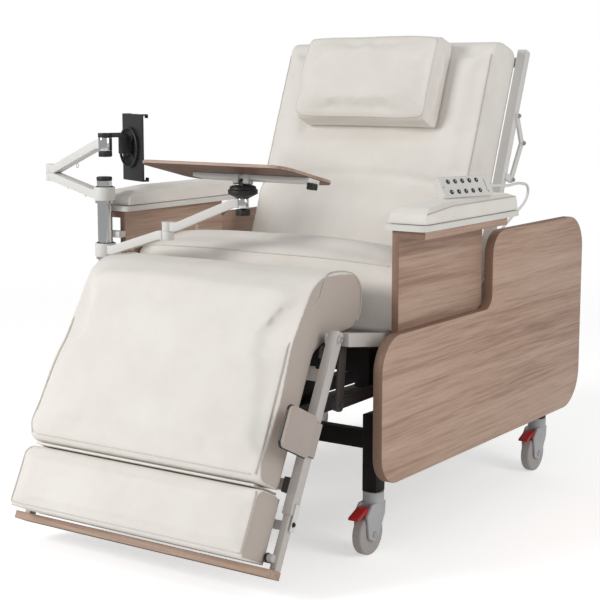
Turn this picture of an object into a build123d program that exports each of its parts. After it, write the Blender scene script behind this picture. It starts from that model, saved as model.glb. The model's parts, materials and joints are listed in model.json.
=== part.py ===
from build123d import *
import os
from math import atan2, cos, degrees, hypot, pi, radians, sin, tan

# A powered patient recliner on four braked casters, in millimetres.
# Origin: on the floor, midway between the four swivel axes. +Z is up, the chair faces -Y,
# and +X is the occupant's left.

os.makedirs("parts", exist_ok=True)

# ---- fits ----
soft_gap = 0.4          # a cushion's clearance to what carries it
running_gap = 0.05      # radial clearance of a pin or collar
slide_gap = 0.5         # clearance on each side of a telescoping tube
side_gap = 0.5          # clearance between two parts that turn face to face

# ---- undercarriage ----
track = 366.0           # middle plane to a swivel axis
wheelbase = 441.0       # middle to a swivel axis, forwards and backwards
leg_tube = 38.0
tube_wall = 3.0
leg_top = 330.0
caster_height = 147.0
stem_r = 8.0
stem_length = 23.0
end_plate = 4.0
cross_beam_bottom = 249.0
cross_beam_height = 39.0
side_beam_height = 38.0
spine_width = 30.0
column_size = 100.0     # outer lifting column, square
column_wall = 4.0
column_y = (-250.0, 320.0)
column_bottom = 160.0
column_top = 340.0
column_overlap = 40.0   # how far the inner column stops above the outer one's foot
bracket_length = 60.0
bracket_spread = 300.0

# ---- casters ----
wheel_r = 50.0
wheel_width = 26.0
hub_r = 37.0
trail = 25.0            # swivel axis to axle
axle_r = 6.0
fork_half = 20.0
fork_clear = 2.0        # beside and around the wheel
collar_r = 25.0
collar_bottom = 121.0
pedal_pin_r = 3.0
pedal_half = 13.0
pedal_pin = (-38.0, 110.0)      # forwards of the swivel axis, and height

# ---- outer side panels ----
panel_inner = 421.0     # middle plane to a panel's inner face
panel_thick = 25.0
panel_front = -537.0
panel_rear = 538.0
panel_bottom = 185.0
panel_low_top = 527.0
panel_high_top = 718.5
panel_step = -9.0

# ---- sliding inner panels and armrests ----
inner_face = 399.0
inner_thick = 18.0
inner_front = -422.0
inner_rear = -14.0
inner_bottom = 378.0
tray_bottom = 757.0
tray_thick = 13.0
tray_inner = 380.0
tray_outer = 490.0
tray_front = -434.0
tray_rear = 50.0
tray_corner = 16.0
shelf_inset = 5.0
pad_inset = 4.0
pad_thick = 39.0
pad_slope = 130.0       # length of the pad's lower front part
pad_drop = 9.0
pad_front = -420.0      # clear of the screen arm's collar

# ---- seat carrier, which rides on the lifting columns ----
carrier_bottom = 375.0
carrier_height = 36.0
carrier_tube = 40.0
carrier_outer = 325.0
carrier_front = -398.0
carrier_rear = 370.0
front_box_height = 59.0
arm_pitch = (-180.0, -50.0)     # where the carrier's side arms reach the inner panels
arm_width = 40.0
post_y = (-338.0, 60.0)         # posts between carrier and seat rails

# ---- seat ----
seat_slope = 8.5
rail_height = 31.0
rail_outer = 380.0
rail_thick = 20.0
rail_rear = 150.0
seat_front = -396.0
seat_rear = -27.0
seat_half = 392.0
seat_depth_front = 188.0        # cushion height at its front
seat_depth_rear = 165.0

# ---- leg rest ----
knee = (-600.0, 528.0)
leg_angle = 26.3
leg_outer = 371.0       # middle plane to the outer face of a leg tube
leg_depth = 28.0
leg_width = 22.0
leg_tube_end = 398.0
knee_plate = 6.0
leg_cushion_half = 327.0
leg_board = 8.0
leg_back = -10.0                # rear face of the leg cushion, behind the leg's middle line
side_pad = (182.0, 274.0)       # along the leg
side_pad_front = -128.0
side_pad_rear = -22.0
side_pad_mount = 5.0
side_pad_thick = 12.0
lever_root = (-534.0, 512.0)    # top of the drive lever, behind the knee pin
lever_angle = -5.6              # rearward lean of the drive lever from straight down
lever_length = 145.0
lever_width = 28.0
lever_thick = 6.0
tie_length = 300.0
tie_rise = 1.0
tie_height = 28.0
tie_thick = 7.0

# ---- foot rest ----
foot_travel = 0.115
foot_tube_start = 150.0
foot_tube_end = 520.0
foot_cushion = (363.0, 516.0)
foot_cushion_half = 340.0
foot_cushion_front = -105.0
foot_plate_thick = 18.0
foot_plate_half = 369.0
foot_plate_front = -40.0
bumper_r = 9.0

# ---- backrest ----
hip = (120.0, 575.0)
back_angle = 21.0
back_tube = 25.0
back_tube_inner = 333.0
back_top = 628.0
back_cushion = (-20.0, 628.0)
back_cushion_half = 330.0
back_front = -127.0
back_seat = 2.0                 # front of the back's cross tubes, behind its middle line
brace_pivots = ((450.0, -2.0), (393.0, 54.0), (284.0, 32.0))   # up the back, behind its middle line
brace_thick = 6.0
brace_width = 17.0
pillow_span = (360.0, 604.0)
pillow_half = 205.0
pillow_thick = 92.0

# ---- pole, screen arm and table arm ----
pole = (-438.0, -456.0)
pole_r = 19.0
pole_wall = 3.0
pole_bottom = 600.0
pole_top = 832.0
groove_pitch = 25.0
collar_out = 27.0
stop_ring = 7.0         # height of the ring that carries an arm's collar
arm_depth = 22.0
arm_half = 14.0
pivot_r = 6.0

screen_collar = (786.0, 820.0)
screen_elbow = (-676.0, -400.0)
screen_elbow_z = 845.0          # joint face between the two screen arms
screen_wrist = (-438.0, -450.0)
screen_wrist_z = (912.0, 945.0)
screen_facing = 66.4            # the way the screen faces, from +X towards +Y
screen_reach = 77.0
screen_centre_z = 919.0
screen_plate = (115.0, 171.0, 5.0)
plate_shift = 12.0      # the plate's middle, sideways of its ring
ring_r = 50.0
ring_wire = 3.5

table_collar = (642.0, 676.0)
table_elbow = (-193.0, -500.0)
table_elbow_z = 726.0
table_hub = (-1.0, -450.0)
table_hub_z = (788.0, 811.0)
hub_top = 842.0
table_pivot_z = 850.0
table_tilt = 13.0
table_size = (434.0, 232.0, 9.0)
table_shift = -25.0             # the table's middle, sideways of its hub
table_lift = 18.0               # tilt axis to the table's underside
table_rail = (-150.0, 192.0)    # ends of the rail, sideways of the hub
table_rail_y = (-6.0, 40.0)       # its front and rear edges, behind the tilt axis
table_rail_thick = 9.5
rail_knob = (184.0, 24.0)       # sideways of the hub, and behind the tilt axis

# ---- handset ----
handset_foot = (446.0, -161.0, 809.6)   # middle of the lower long edge, resting on the pad
handset_turn = 75.0
handset_lean = 60.0
handset_size = (172.0, 55.0, 18.0)
rest_height = 34.0      # height of the wedge that props the case up
rest_half = 30.0
button_r = 5.2
button_gap = 0.25
button_pitch = (24.5, 27.0)
button_proud = 1.8
button_depth = 6.0
cord_d = 7.0
socket_depth = 10.0     # how far the cord enters the inner panel's rear edge
socket_height = 584.0
socket_gap = 0.4
socket_x = inner_face + inner_thick / 2

leg_a = radians(leg_angle)
back_a = radians(back_angle)
seat_a = radians(seat_slope)


def on_leg(s, t):
    """(Y, Z) of a point s down the leg rest from the knee pin and t behind its middle line."""
    return (knee[0] - s * sin(leg_a) + t * cos(leg_a), knee[1] - s * cos(leg_a) - t * sin(leg_a))


def on_back(s, t):
    """(Y, Z) of a point s up the backrest from the hip pin and t behind its middle line."""
    return (hip[0] + s * sin(back_a) + t * cos(back_a), hip[1] + s * cos(back_a) - t * sin(back_a))


def on_seat(y, t):
    """(Y, Z) of a point at Y = y, t above the top line of the seat rails."""
    return (y, knee[1] + rail_height / 2 - (y - knee[0]) * tan(seat_a) + t)


def save(part, label):
    part.label = label
    export_step(part, f"parts/{label}.step")


def block(x, y, z, mode=Mode.ADD):
    """A rectangular block between two values on each axis."""
    with Locations(((x[0] + x[1]) / 2, (y[0] + y[1]) / 2, (z[0] + z[1]) / 2)):
        Box(abs(x[1] - x[0]), abs(y[1] - y[0]), abs(z[1] - z[0]), mode=mode)


def outline(points, radii=None):
    """A closed outline, each corner rounded by its own radius."""
    with BuildLine() as rim:
        Polyline(*points, close=True)
    make_face(rim.edges())
    for point, radius in zip(points, radii or []):
        if radius:
            fillet(vertices().sort_by_distance((point[0], point[1], 0))[0], radius)


def slab(points, x, radii=None, mode=Mode.ADD):
    """A side outline of (Y, Z) points, extruded from x[0] to x[1]."""
    with BuildSketch(Plane.YZ.offset(x[0])) as side:
        outline(points, radii)
    extrude(side.sketch, amount=x[1] - x[0], mode=mode)


def four(frame, s, t):
    """The four corners of a rectangle in a leaning frame."""
    return [frame(s[0], t[0]), frame(s[0], t[1]), frame(s[1], t[1]), frame(s[1], t[0])]


def leaning_tube(frame, s, t, x, wall):
    """A rectangular tube along a leaning frame."""
    way = 1 if x[1] > x[0] else -1
    slab(four(frame, s, t), x)
    slab(four(frame, (s[0] - 1, s[1] + 1), (t[0] + wall, t[1] - wall)),
         (x[0] + way * wall, x[1] - way * wall), mode=Mode.SUBTRACT)


def pin(x, yz, radius, mode=Mode.ADD):
    """A round pin or bore along X."""
    with BuildSketch(Plane.YZ.offset(x[0])) as end:
        with Locations(yz):
            Circle(radius)
    extrude(end.sketch, amount=x[1] - x[0], mode=mode)


def link(x, start, end, width):
    """A flat bar with round ends between two (Y, Z) points."""
    dy, dz = end[0] - start[0], end[1] - start[1]
    with BuildSketch(Plane.YZ.offset(x[0])) as side:
        with Locations(((start[0] + end[0]) / 2, (start[1] + end[1]) / 2)):
            SlotCenterToCenter(hypot(dy, dz), width, rotation=degrees(atan2(dz, dy)))
    extrude(side.sketch, amount=x[1] - x[0])


def post(xy, z, radius, mode=Mode.ADD):
    """An upright round post or bore."""
    with BuildSketch(Plane.XY.offset(z[0])) as end:
        with Locations(xy):
            Circle(radius)
    extrude(end.sketch, amount=z[1] - z[0], mode=mode)


# ---------------------------------------------------------------- undercarriage

leg_inside = track - leg_tube / 2
leg_outside = track + leg_tube / 2
beam_end = wheelbase - leg_tube / 2
side_beam_bottom = leg_top - side_beam_height
inner_column = column_size - 2 * column_wall - 2 * slide_gap


def base_legs():
    """Four square legs, each with an end plate and the stem that its caster turns on."""
    with BuildPart() as legs:
        with BuildSketch(Plane.XY.offset(caster_height)):
            with GridLocations(2 * track, 2 * wheelbase, 2, 2):
                Rectangle(leg_tube, leg_tube)
        extrude(amount=leg_top - caster_height)
        with BuildSketch(Plane.XY.offset(caster_height + end_plate)):
            with GridLocations(2 * track, 2 * wheelbase, 2, 2):
                Rectangle(leg_tube - 2 * tube_wall, leg_tube - 2 * tube_wall)
        extrude(amount=leg_top - caster_height - 2 * end_plate, mode=Mode.SUBTRACT)
        with BuildSketch(Plane.XY.offset(caster_height - stem_length)):
            with GridLocations(2 * track, 2 * wheelbase, 2, 2):
                Circle(stem_r)
        extrude(amount=stem_length)
    save(legs.part, "base_legs")


def base_beams():
    """Cross beams, the two spine rails between them, the side beams and the panel brackets."""
    z = (cross_beam_bottom, cross_beam_bottom + cross_beam_height)
    z_in = (z[0] + tube_wall, z[1] - tube_wall)
    with BuildPart() as beams:
        for end in (-1, 1):
            y = (end * beam_end, end * (wheelbase + leg_tube / 2))
            y_in = (y[0] + end * tube_wall, y[1] - end * tube_wall)
            block((-leg_inside, leg_inside), y, z)
            block((-leg_inside, leg_inside), y_in, z_in, mode=Mode.SUBTRACT)
        for side in (-1, 1):
            x = (side * column_size / 2, side * (column_size / 2 + spine_width))
            x_in = (x[0] + side * tube_wall, x[1] - side * tube_wall)
            block(x, (-beam_end, beam_end), z)
            block(x_in, (-beam_end, beam_end), z_in, mode=Mode.SUBTRACT)
            x = (side * leg_inside, side * leg_outside)
            x_in = (x[0] + side * tube_wall, x[1] - side * tube_wall)
            block(x, (-beam_end, beam_end), (side_beam_bottom, leg_top))
            block(x_in, (-beam_end, beam_end), (side_beam_bottom + tube_wall, leg_top - tube_wall),
                  mode=Mode.SUBTRACT)
            for y in (-bracket_spread, bracket_spread):
                block((side * leg_outside, side * panel_inner),
                      (y - bracket_length / 2, y + bracket_length / 2),
                      (side_beam_bottom + tube_wall, leg_top - tube_wall))
    save(beams.part, "base_beams")


def lifting_columns():
    """Two telescoping square columns: the outer pair on the base, the inner pair under the carrier."""
    places = [(0, y) for y in column_y]
    outer_void = column_size - 2 * column_wall
    with BuildPart() as outer:
        with BuildSketch(Plane.XY.offset(column_bottom)):
            with Locations(*places):
                Rectangle(column_size, column_size)
        extrude(amount=column_top - column_bottom)
        with BuildSketch(Plane.XY.offset(column_bottom + column_wall)):
            with Locations(*places):
                Rectangle(outer_void, outer_void)
        extrude(amount=column_top - column_bottom, mode=Mode.SUBTRACT)
    save(outer.part, "lift_columns_outer")
    with BuildPart() as inner:
        for size, mode in ((inner_column, Mode.ADD), (inner_column - 2 * column_wall, Mode.SUBTRACT)):
            with BuildSketch(Plane.XY.offset(column_bottom + column_overlap)):
                with Locations(*places):
                    Rectangle(size, size)
            extrude(amount=carrier_bottom - column_bottom - column_overlap, mode=mode)
    save(inner.part, "lift_columns_inner")


def outer_panels():
    """The stepped wooden side panels with rounded corners."""
    points = [(panel_front, panel_bottom), (panel_rear, panel_bottom), (panel_rear, panel_high_top),
              (panel_step, panel_high_top), (panel_step, panel_low_top), (panel_front, panel_low_top)]
    with BuildPart() as panels:
        for side in (-1, 1):
            slab(points, (side * panel_inner, side * (panel_inner + panel_thick)), (70, 100, 90, 60, 35, 80))
    save(panels.part, "outer_panels")


# ---------------------------------------------------------------- casters

def caster(x, y, name):
    """A swivelling braked caster: fork housing with axle, wheel with tyre, and brake pedal."""
    axle = (y - trail, wheel_r)
    cavity_half = wheel_width / 2 + fork_clear
    with BuildPart() as fork:
        slab([(y + 24, collar_bottom + 2), (y - 34, collar_bottom + 2), (y - 56, 99), (y - 48, 44),
              (y - 25, 33), (y - 6, 45), (y + 20, 90)],
             (x - fork_half, x + fork_half), (6, 8, 8, 10, 12, 10, 10))
        post((x, y), (collar_bottom, caster_height - side_gap), collar_r)
        pin((x - cavity_half, x + cavity_half), axle, wheel_r + fork_clear + 1, mode=Mode.SUBTRACT)
        block((x - pedal_half - side_gap, x + pedal_half + side_gap), (y - 60, y - 28),
              (94, collar_bottom + 3), mode=Mode.SUBTRACT)
        pin((x - fork_half, x + fork_half), axle, axle_r)
        pin((x - fork_half, x + fork_half), (y + pedal_pin[0], pedal_pin[1]), pedal_pin_r)
        post((x, y), (caster_height - stem_length - 1, caster_height + 1), stem_r + running_gap,
             mode=Mode.SUBTRACT)
    save(fork.part, f"caster_fork_{name}")

    with BuildPart() as wheel:
        with BuildSketch(Plane.YZ.offset(x - wheel_width / 2)):
            with Locations(axle):
                Circle(hub_r - running_gap)
                Circle(axle_r + running_gap, mode=Mode.SUBTRACT)
        extrude(amount=wheel_width)
        with BuildSketch(Plane.YZ.offset(x - wheel_width / 2)):
            with Locations(axle):
                Circle(wheel_r)
                Circle(hub_r + running_gap, mode=Mode.SUBTRACT)
        extrude(amount=wheel_width)
        fillet(wheel.edges().filter_by(GeomType.CIRCLE).sort_by(SortBy.RADIUS)[-2:], 6)
    save(wheel.part, f"caster_wheel_{name}")

    with BuildPart() as pedal:
        slab([(y - 31.5, 117), (y - 52, 116), (y - 88, 101), (y - 91, 94), (y - 62, 101), (y - 40, 103)],
             (x - pedal_half, x + pedal_half), (4, 8, 2, 2, 6, 3))
        pin((x - pedal_half, x + pedal_half), (y + pedal_pin[0], pedal_pin[1]),
            pedal_pin_r + running_gap, mode=Mode.SUBTRACT)
    save(pedal.part, f"brake_pedal_{name}")


# ---------------------------------------------------------------- armrests and carrier

def inner_panels():
    """Wooden panels that slide up behind the outer ones, each with a shelf board under its armrest."""
    shelf_bottom = tray_bottom - inner_thick
    y = (inner_front, inner_rear)
    with BuildPart() as panels:
        for side in (-1, 1):
            block((side * inner_face, side * (inner_face + inner_thick)), y, (inner_bottom, shelf_bottom))
            block((side * inner_face, side * (tray_outer - shelf_inset)), y, (shelf_bottom, tray_bottom))
        with BuildSketch(Plane.XZ.offset(-inner_rear)):
            with Locations((socket_x, socket_height)):
                Circle(cord_d / 2 + socket_gap)
        extrude(amount=socket_depth + 2, mode=Mode.SUBTRACT)
    save(panels.part, "inner_panels")


def arm_trays():
    """Flat trays that carry the arm pads."""
    width = tray_outer - tray_inner
    with BuildPart() as trays:
        with BuildSketch(Plane.XY.offset(tray_bottom)):
            with Locations((0, (tray_front + tray_rear) / 2)):
                with GridLocations(tray_inner + tray_outer, 0, 2, 1):
                    RectangleRounded(width, tray_rear - tray_front, tray_corner)
        extrude(amount=tray_thick)
        chamfer(trays.faces().sort_by(Axis.Z)[-2:].edges(), 1.0)
    save(trays.part, "arm_trays")


def arm_pads():
    """The padded arm tops, lower at the front."""
    z = (tray_bottom + tray_thick + soft_gap, tray_bottom + tray_thick + pad_thick)
    y = (pad_front, tray_rear - pad_inset)
    with BuildPart() as pads:
        for side in (-1, 1):
            slab([(y[0], z[0]), (y[1], z[0]), (y[1], z[1]), (y[0] + pad_slope, z[1]), (y[0], z[1] - pad_drop)],
                 (side * (tray_inner + pad_inset), side * (tray_outer - pad_inset)), (2, 2, 14, 60, 16))
    save(pads.part, "arm_pads")


def seat_carrier():
    """The black frame that rides on the columns and carries the seat and both arm panels."""
    z = (carrier_bottom, carrier_bottom + carrier_height)
    with BuildPart() as carrier:
        for side in (-1, 1):
            x = (side * (carrier_outer - carrier_tube), side * carrier_outer)
            x_in = (x[0] + side * tube_wall, x[1] - side * tube_wall)
            block(x, (carrier_front, carrier_rear), z)
            block(x_in, (carrier_front + tube_wall, carrier_rear - tube_wall),
                  (z[0] + tube_wall, z[1] - tube_wall), mode=Mode.SUBTRACT)
            for y in arm_pitch:
                block((side * carrier_outer, side * inner_face), (y - arm_width / 2, y + arm_width / 2),
                      (inner_bottom, z[1]))
        for y in column_y:
            block((carrier_tube - carrier_outer, carrier_outer - carrier_tube),
                  (y - inner_column / 2, y + inner_column / 2), (z[1] - 8, z[1]))
            block((-inner_column / 2, inner_column / 2), (y - inner_column / 2, y + inner_column / 2),
                  (z[0], z[1] - 8))
        y = (carrier_front, carrier_front + carrier_tube)
        block((-carrier_outer, carrier_outer), y, (z[1], z[1] + front_box_height))
        block((tube_wall - carrier_outer, carrier_outer - tube_wall), (y[0] + tube_wall, y[1] - tube_wall),
              (z[1] + tube_wall, z[1] + front_box_height - tube_wall), mode=Mode.SUBTRACT)
    save(carrier.part, "seat_carrier")


def seat_frame():
    """Sloping side rails with knee plates, hip plates, cross tubes, posts and the base board."""
    rail_inner = rail_outer - rail_thick
    knee_out = leg_outer - leg_width - side_gap
    carrier_top = carrier_bottom + carrier_height
    with BuildPart() as frame:
        for side in (-1, 1):
            start = knee[0] + leg_depth / 2 + 13
            slab([on_seat(start, 0), on_seat(rail_rear, 0), on_seat(rail_rear, -rail_height),
                  on_seat(start, -rail_height)], (side * rail_inner, side * rail_outer))
            slab([on_seat(knee[0] - 14, -2), on_seat(start + 45, -2), on_seat(start + 45, 2 - rail_height),
                  on_seat(knee[0] - 14, 2 - rail_height)],
                 (side * (knee_out - knee_plate), side * knee_out), (6, 0, 0, 6))
            slab([on_seat(start + 18, -2), on_seat(start + 45, -2), on_seat(start + 45, 2 - rail_height),
                  on_seat(start + 18, 2 - rail_height)], (side * knee_out, side * rail_inner))
            pin((side * knee_out, side * (leg_outer + 6)), knee, 8)
            hip_x = (back_tube_inner + back_tube + side_gap, back_tube_inner + back_tube + side_gap + 8)
            slab([on_seat(hip[0] - 40, -rail_height), on_seat(rail_rear, -rail_height),
                  (hip[0] + 24, hip[1] + 22), (hip[0] - 24, hip[1] + 22)],
                 (side * hip_x[0], side * hip_x[1]), (0, 0, 16, 16))
            pin((side * (back_tube_inner - 3), side * hip_x[0]), hip, 9)
            for y in post_y:
                block((side * (carrier_outer - carrier_tube + 2), side * (carrier_outer - 2)),
                      (y - 15, y + 15), (carrier_top, on_seat(y + 15, -20)[1]))
        for y in post_y:
            slab([on_seat(y - 15, 0), on_seat(y + 15, 0), on_seat(y + 15, -28), on_seat(y - 15, -28)],
                 (-rail_inner, rail_inner))
    save(frame.part, "seat_frame")


def seat_pad():
    """The seat cushion, a soft block between the two inner panels."""
    low = soft_gap + 0.4
    with BuildPart() as cushion:
        slab([on_seat(seat_front, low), on_seat(seat_rear - 8, low),
              on_seat(seat_rear + 24, low + seat_depth_rear), on_seat(-230, low + seat_depth_rear + 30),
              on_seat(seat_front, low + seat_depth_front)],
             (-seat_half, seat_half), (12, 12, 20, 200, 50))
    save(cushion.part, "seat_cushion")


# ---------------------------------------------------------------- leg rest and foot rest

tube_front = -leg_depth / 2
tube_back = leg_depth / 2
leg_x = (leg_outer - leg_width, leg_outer)


def leg_frame():
    """Two tubes that hang from the knee pins, two cross tubes and the board behind the cushion."""
    wall = 2.5
    with BuildPart() as frame:
        for side in (-1, 1):
            x = (side * leg_x[0], side * leg_x[1])
            slab(four(on_leg, (-18, leg_tube_end), (tube_front, tube_back)), x, (6, 6, 0, 0))
            slab(four(on_leg, (foot_tube_start - 140, leg_tube_end + 1), (tube_front + wall, tube_back - wall)),
                 (x[0] + side * wall, x[1] - side * wall), mode=Mode.SUBTRACT)
            pin(x, knee, 8 + running_gap, mode=Mode.SUBTRACT)
        for s in (72.0, 322.0):
            slab(four(on_leg, (s, s + 25), (leg_back + 0.3 + leg_board, tube_back - 2)),
                 (-leg_x[0], leg_x[0]))
        slab(four(on_leg, (62, 350), (leg_back + 0.3, leg_back + 0.3 + leg_board)),
             (-leg_cushion_half + 12, leg_cushion_half - 12))
    save(frame.part, "leg_frame")


def leg_pad():
    """The leg cushion: a long pad that thickens towards the foot and rolls over behind the knee."""
    points = [on_leg(356, -120), on_leg(356, leg_back), on_leg(40, leg_back), (-560, 522), (-432, 532),
              (-426, 660), (-618, 668), on_leg(35, -102)]
    with BuildPart() as cushion:
        slab(points, (-leg_cushion_half, leg_cushion_half), (34, 16, 12, 14, 56, 58, 90, 120))
    save(cushion.part, "leg_cushion")


def leg_side_pad():
    """A flat padded plate outside the occupant's left leg tube, on a thin mounting plate."""
    inner = leg_x[1] + side_gap
    with BuildPart() as pad:
        slab(four(on_leg, side_pad, (side_pad_front, side_pad_rear)), (inner, inner + side_pad_thick),
             (14, 3, 3, 14))
        slab(four(on_leg, (side_pad[0] + 8, side_pad[1] - 8), (side_pad_rear - 8, tube_back)),
             (inner, inner + side_pad_mount), (0, 3, 3, 0))
    save(pad.part, "leg_side_pad")


def lever_point(s, t=0.0):
    """(Y, Z) of a point s down the drive lever from its root and t behind its middle line."""
    a = radians(lever_angle)
    return (lever_root[0] + s * sin(a) + t * cos(a), lever_root[1] - s * cos(a) + t * sin(a))


lever_x = (leg_x[0] - side_gap - knee_plate - side_gap - lever_thick, leg_x[0] - side_gap - knee_plate - side_gap)


def leg_levers():
    """Dark levers welded to the leg tubes below the knee, which the tie bars push."""
    with BuildPart() as levers:
        for side in (-1, 1):
            x = (side * lever_x[0], side * lever_x[1])
            slab(four(lever_point, (-12, lever_length + 16), (-lever_width / 2, lever_width / 2)), x,
                 (10, 10, 10, 10))
            link(x, on_leg(30, 2), lever_root, lever_width)
            slab(four(on_leg, (24, 48), (-10, 12)), (side * lever_x[0], side * leg_x[0]))
            pin((side * (lever_x[0] - tie_thick - 2 * side_gap), side * lever_x[0]),
                lever_point(lever_length), 6)
    save(levers.part, "leg_levers")


def leg_tie_bars():
    """Bars that run back from the lever ends to the drive under the seat."""
    x = (lever_x[0] - side_gap - tie_thick, lever_x[0] - side_gap)
    half = tie_height / 2
    front = lever_point(lever_length)
    rise = tie_rise / 60
    with BuildPart() as ties:
        for side in (-1, 1):
            slab([(front[0] - half, front[1] - half), (front[0] + tie_length, front[1] - half + rise * tie_length),
                  (front[0] + tie_length, front[1] + half + rise * tie_length), (front[0] - half, front[1] + half)],
                 (side * x[0], side * x[1]), (8, 6, 6, 8))
            pin((side * x[0], side * x[1]), front, 6 + running_gap, mode=Mode.SUBTRACT)
    save(ties.part, "leg_tie_bars")


def foot_frame():
    """Inner tubes that slide in the leg tubes, cross bars, the board behind the cushion, bumpers."""
    gap = 2.5 + slide_gap
    x_out = leg_x[1] - gap
    x_in = leg_x[0] + gap
    board = (leg_back + 0.3, leg_back + 0.3 + leg_board)
    with BuildPart() as frame:
        for side in (-1, 1):
            slab(four(on_leg, (foot_tube_start, foot_tube_end), (tube_front + gap, tube_back - gap)),
                 (side * x_in, side * x_out))
            with BuildSketch(Plane.YZ.offset(side * (foot_cushion_half + 3))):
                with Locations(on_leg(496, tube_front - 3)):
                    Circle(bumper_r)
            extrude(amount=side * (x_in + 9 - foot_cushion_half - 3))
        for s in (412.0, 486.0):
            slab(four(on_leg, (s, s + 20), (board[1], tube_back - gap)), (-x_in, x_in))
        slab(four(on_leg, (foot_cushion[0] + 6, foot_cushion[1] - 2), board),
             (12 - foot_cushion_half, foot_cushion_half - 12))
    save(frame.part, "foot_frame")


def foot_pad():
    """The box-shaped foot cushion."""
    with BuildPart() as cushion:
        slab(four(on_leg, foot_cushion, (foot_cushion_front, leg_back)),
             (-foot_cushion_half, foot_cushion_half), (26, 24, 12, 12))
    save(cushion.part, "foot_cushion")


def foot_plate():
    """The wooden bar across the ends of the foot tubes."""
    with BuildPart() as plate:
        slab(four(on_leg, (foot_tube_end, foot_tube_end + foot_plate_thick), (foot_plate_front, tube_back - 2)),
             (-foot_plate_half, foot_plate_half))
        chamfer(plate.edges().filter_by(Axis.X), 1.2)
    save(plate.part, "foot_plate")


# ---------------------------------------------------------------- backrest

def back_frame():
    """Side tubes on the hip pins, cross tubes behind the cushion, and the folded side braces."""
    x = (back_tube_inner, back_tube_inner + back_tube)
    half = back_tube / 2
    with BuildPart() as frame:
        for side in (-1, 1):
            leaning_tube(on_back, (-22, back_top), (-half, half), (side * x[0], side * x[1]), 2.5)
            slab(four(on_back, (-22, 30), (-half, half)), (side * x[0], side * x[1]))
            slab(four(on_back, (back_top - 6, back_top + 4), (-half, half)), (side * x[0], side * x[1]))
            pin((side * x[0], side * x[1]), hip, 9 + running_gap, mode=Mode.SUBTRACT)
            for start, end in zip(brace_pivots, brace_pivots[1:]):
                link((side * x[1], side * (x[1] + brace_thick)), on_back(*start), on_back(*end), brace_width)
            slab(four(on_back, (brace_pivots[2][0] - 9, brace_pivots[2][0] + 9), (0, brace_pivots[2][1])),
                 (side * (x[1] - 1), side * (x[1] + brace_thick - 1)))
            for pivot in brace_pivots:
                pin((side * (x[1] + 1), side * (x[1] + brace_thick + 4)), on_back(*pivot), 6)
        for s in (90.0, 590.0):
            slab(four(on_back, (s, s + 25), (back_seat, half)), (-x[0], x[0]))
    save(frame.part, "back_frame")


def back_pad():
    """The long back cushion."""
    with BuildPart() as cushion:
        slab(four(on_back, back_cushion, (back_front, back_seat - soft_gap)),
             (-back_cushion_half, back_cushion_half), (26, 20, 30, 46))
    save(cushion.part, "back_cushion")


def pillow_pad():
    """The head pillow, which lies on the front of the back cushion."""
    rear = back_front - soft_gap
    with BuildPart() as cushion:
        slab(four(on_back, pillow_span, (rear - pillow_thick, rear)), (-pillow_half, pillow_half),
             (24, 24, 30, 30))
    save(cushion.part, "pillow")


# ---------------------------------------------------------------- pole and arms

def pole_parts():
    """The ringed tube in front of the left armrest, with its stop rings and cap."""
    with BuildPart() as tube:
        post(pole, (pole_bottom, pole_top), pole_r)
        post(pole, (pole_bottom, pole_top), pole_r - pole_wall, mode=Mode.SUBTRACT)
        for n in range(4):
            with BuildSketch(Plane.XY.offset(table_collar[1] + 12 + groove_pitch * n)):
                with Locations(pole):
                    Circle(pole_r + 1)
                    Circle(pole_r - 0.8, mode=Mode.SUBTRACT)
            extrude(amount=1.6, mode=Mode.SUBTRACT)
        post(pole, (pole_top, pole_top + 4), pole_r + 0.5)
        for collar in (screen_collar, table_collar):
            with BuildSketch(Plane.XY.offset(collar[0] - stop_ring)):
                with Locations(pole):
                    Circle(pole_r + 5)
                    Circle(pole_r - pole_wall, mode=Mode.SUBTRACT)
            extrude(amount=stop_ring - side_gap)
    save(tube.part, "pole")
    with BuildPart() as brackets:
        for low in (pole_bottom + 2, table_collar[1] + 14):
            block((pole[0] - 12, -inner_face), (pole[1] + pole_r / 2, inner_front), (low, low + 16))
            post(pole, (low, low + 16), pole_r, mode=Mode.SUBTRACT)
    save(brackets.part, "pole_brackets")


def between(start, end):
    """The length from start to end, and the upright plane through both, with X along the way."""
    dx, dy = end[0] - start[0], end[1] - start[1]
    length = hypot(dx, dy)
    way = (dx / length, dy / length, 0)
    return length, Plane(origin=(start[0], start[1], 0), x_dir=way, z_dir=(way[1], -way[0], 0))


def arm_bar(start, end, z_start, z_end, reach):
    """A sloping flat bar between two upright pivots, level at both ends."""
    length, plane = between(start, end)
    low = [(reach[0], z_start), (reach[0] + 16, z_start), (length - reach[1] - 14, z_end), (length - reach[1], z_end)]
    high = [(r, z + arm_depth) for r, z in reversed(low)]
    with BuildSketch(plane) as side:
        outline(low + high)
    extrude(side.sketch, amount=arm_half, both=True)


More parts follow.
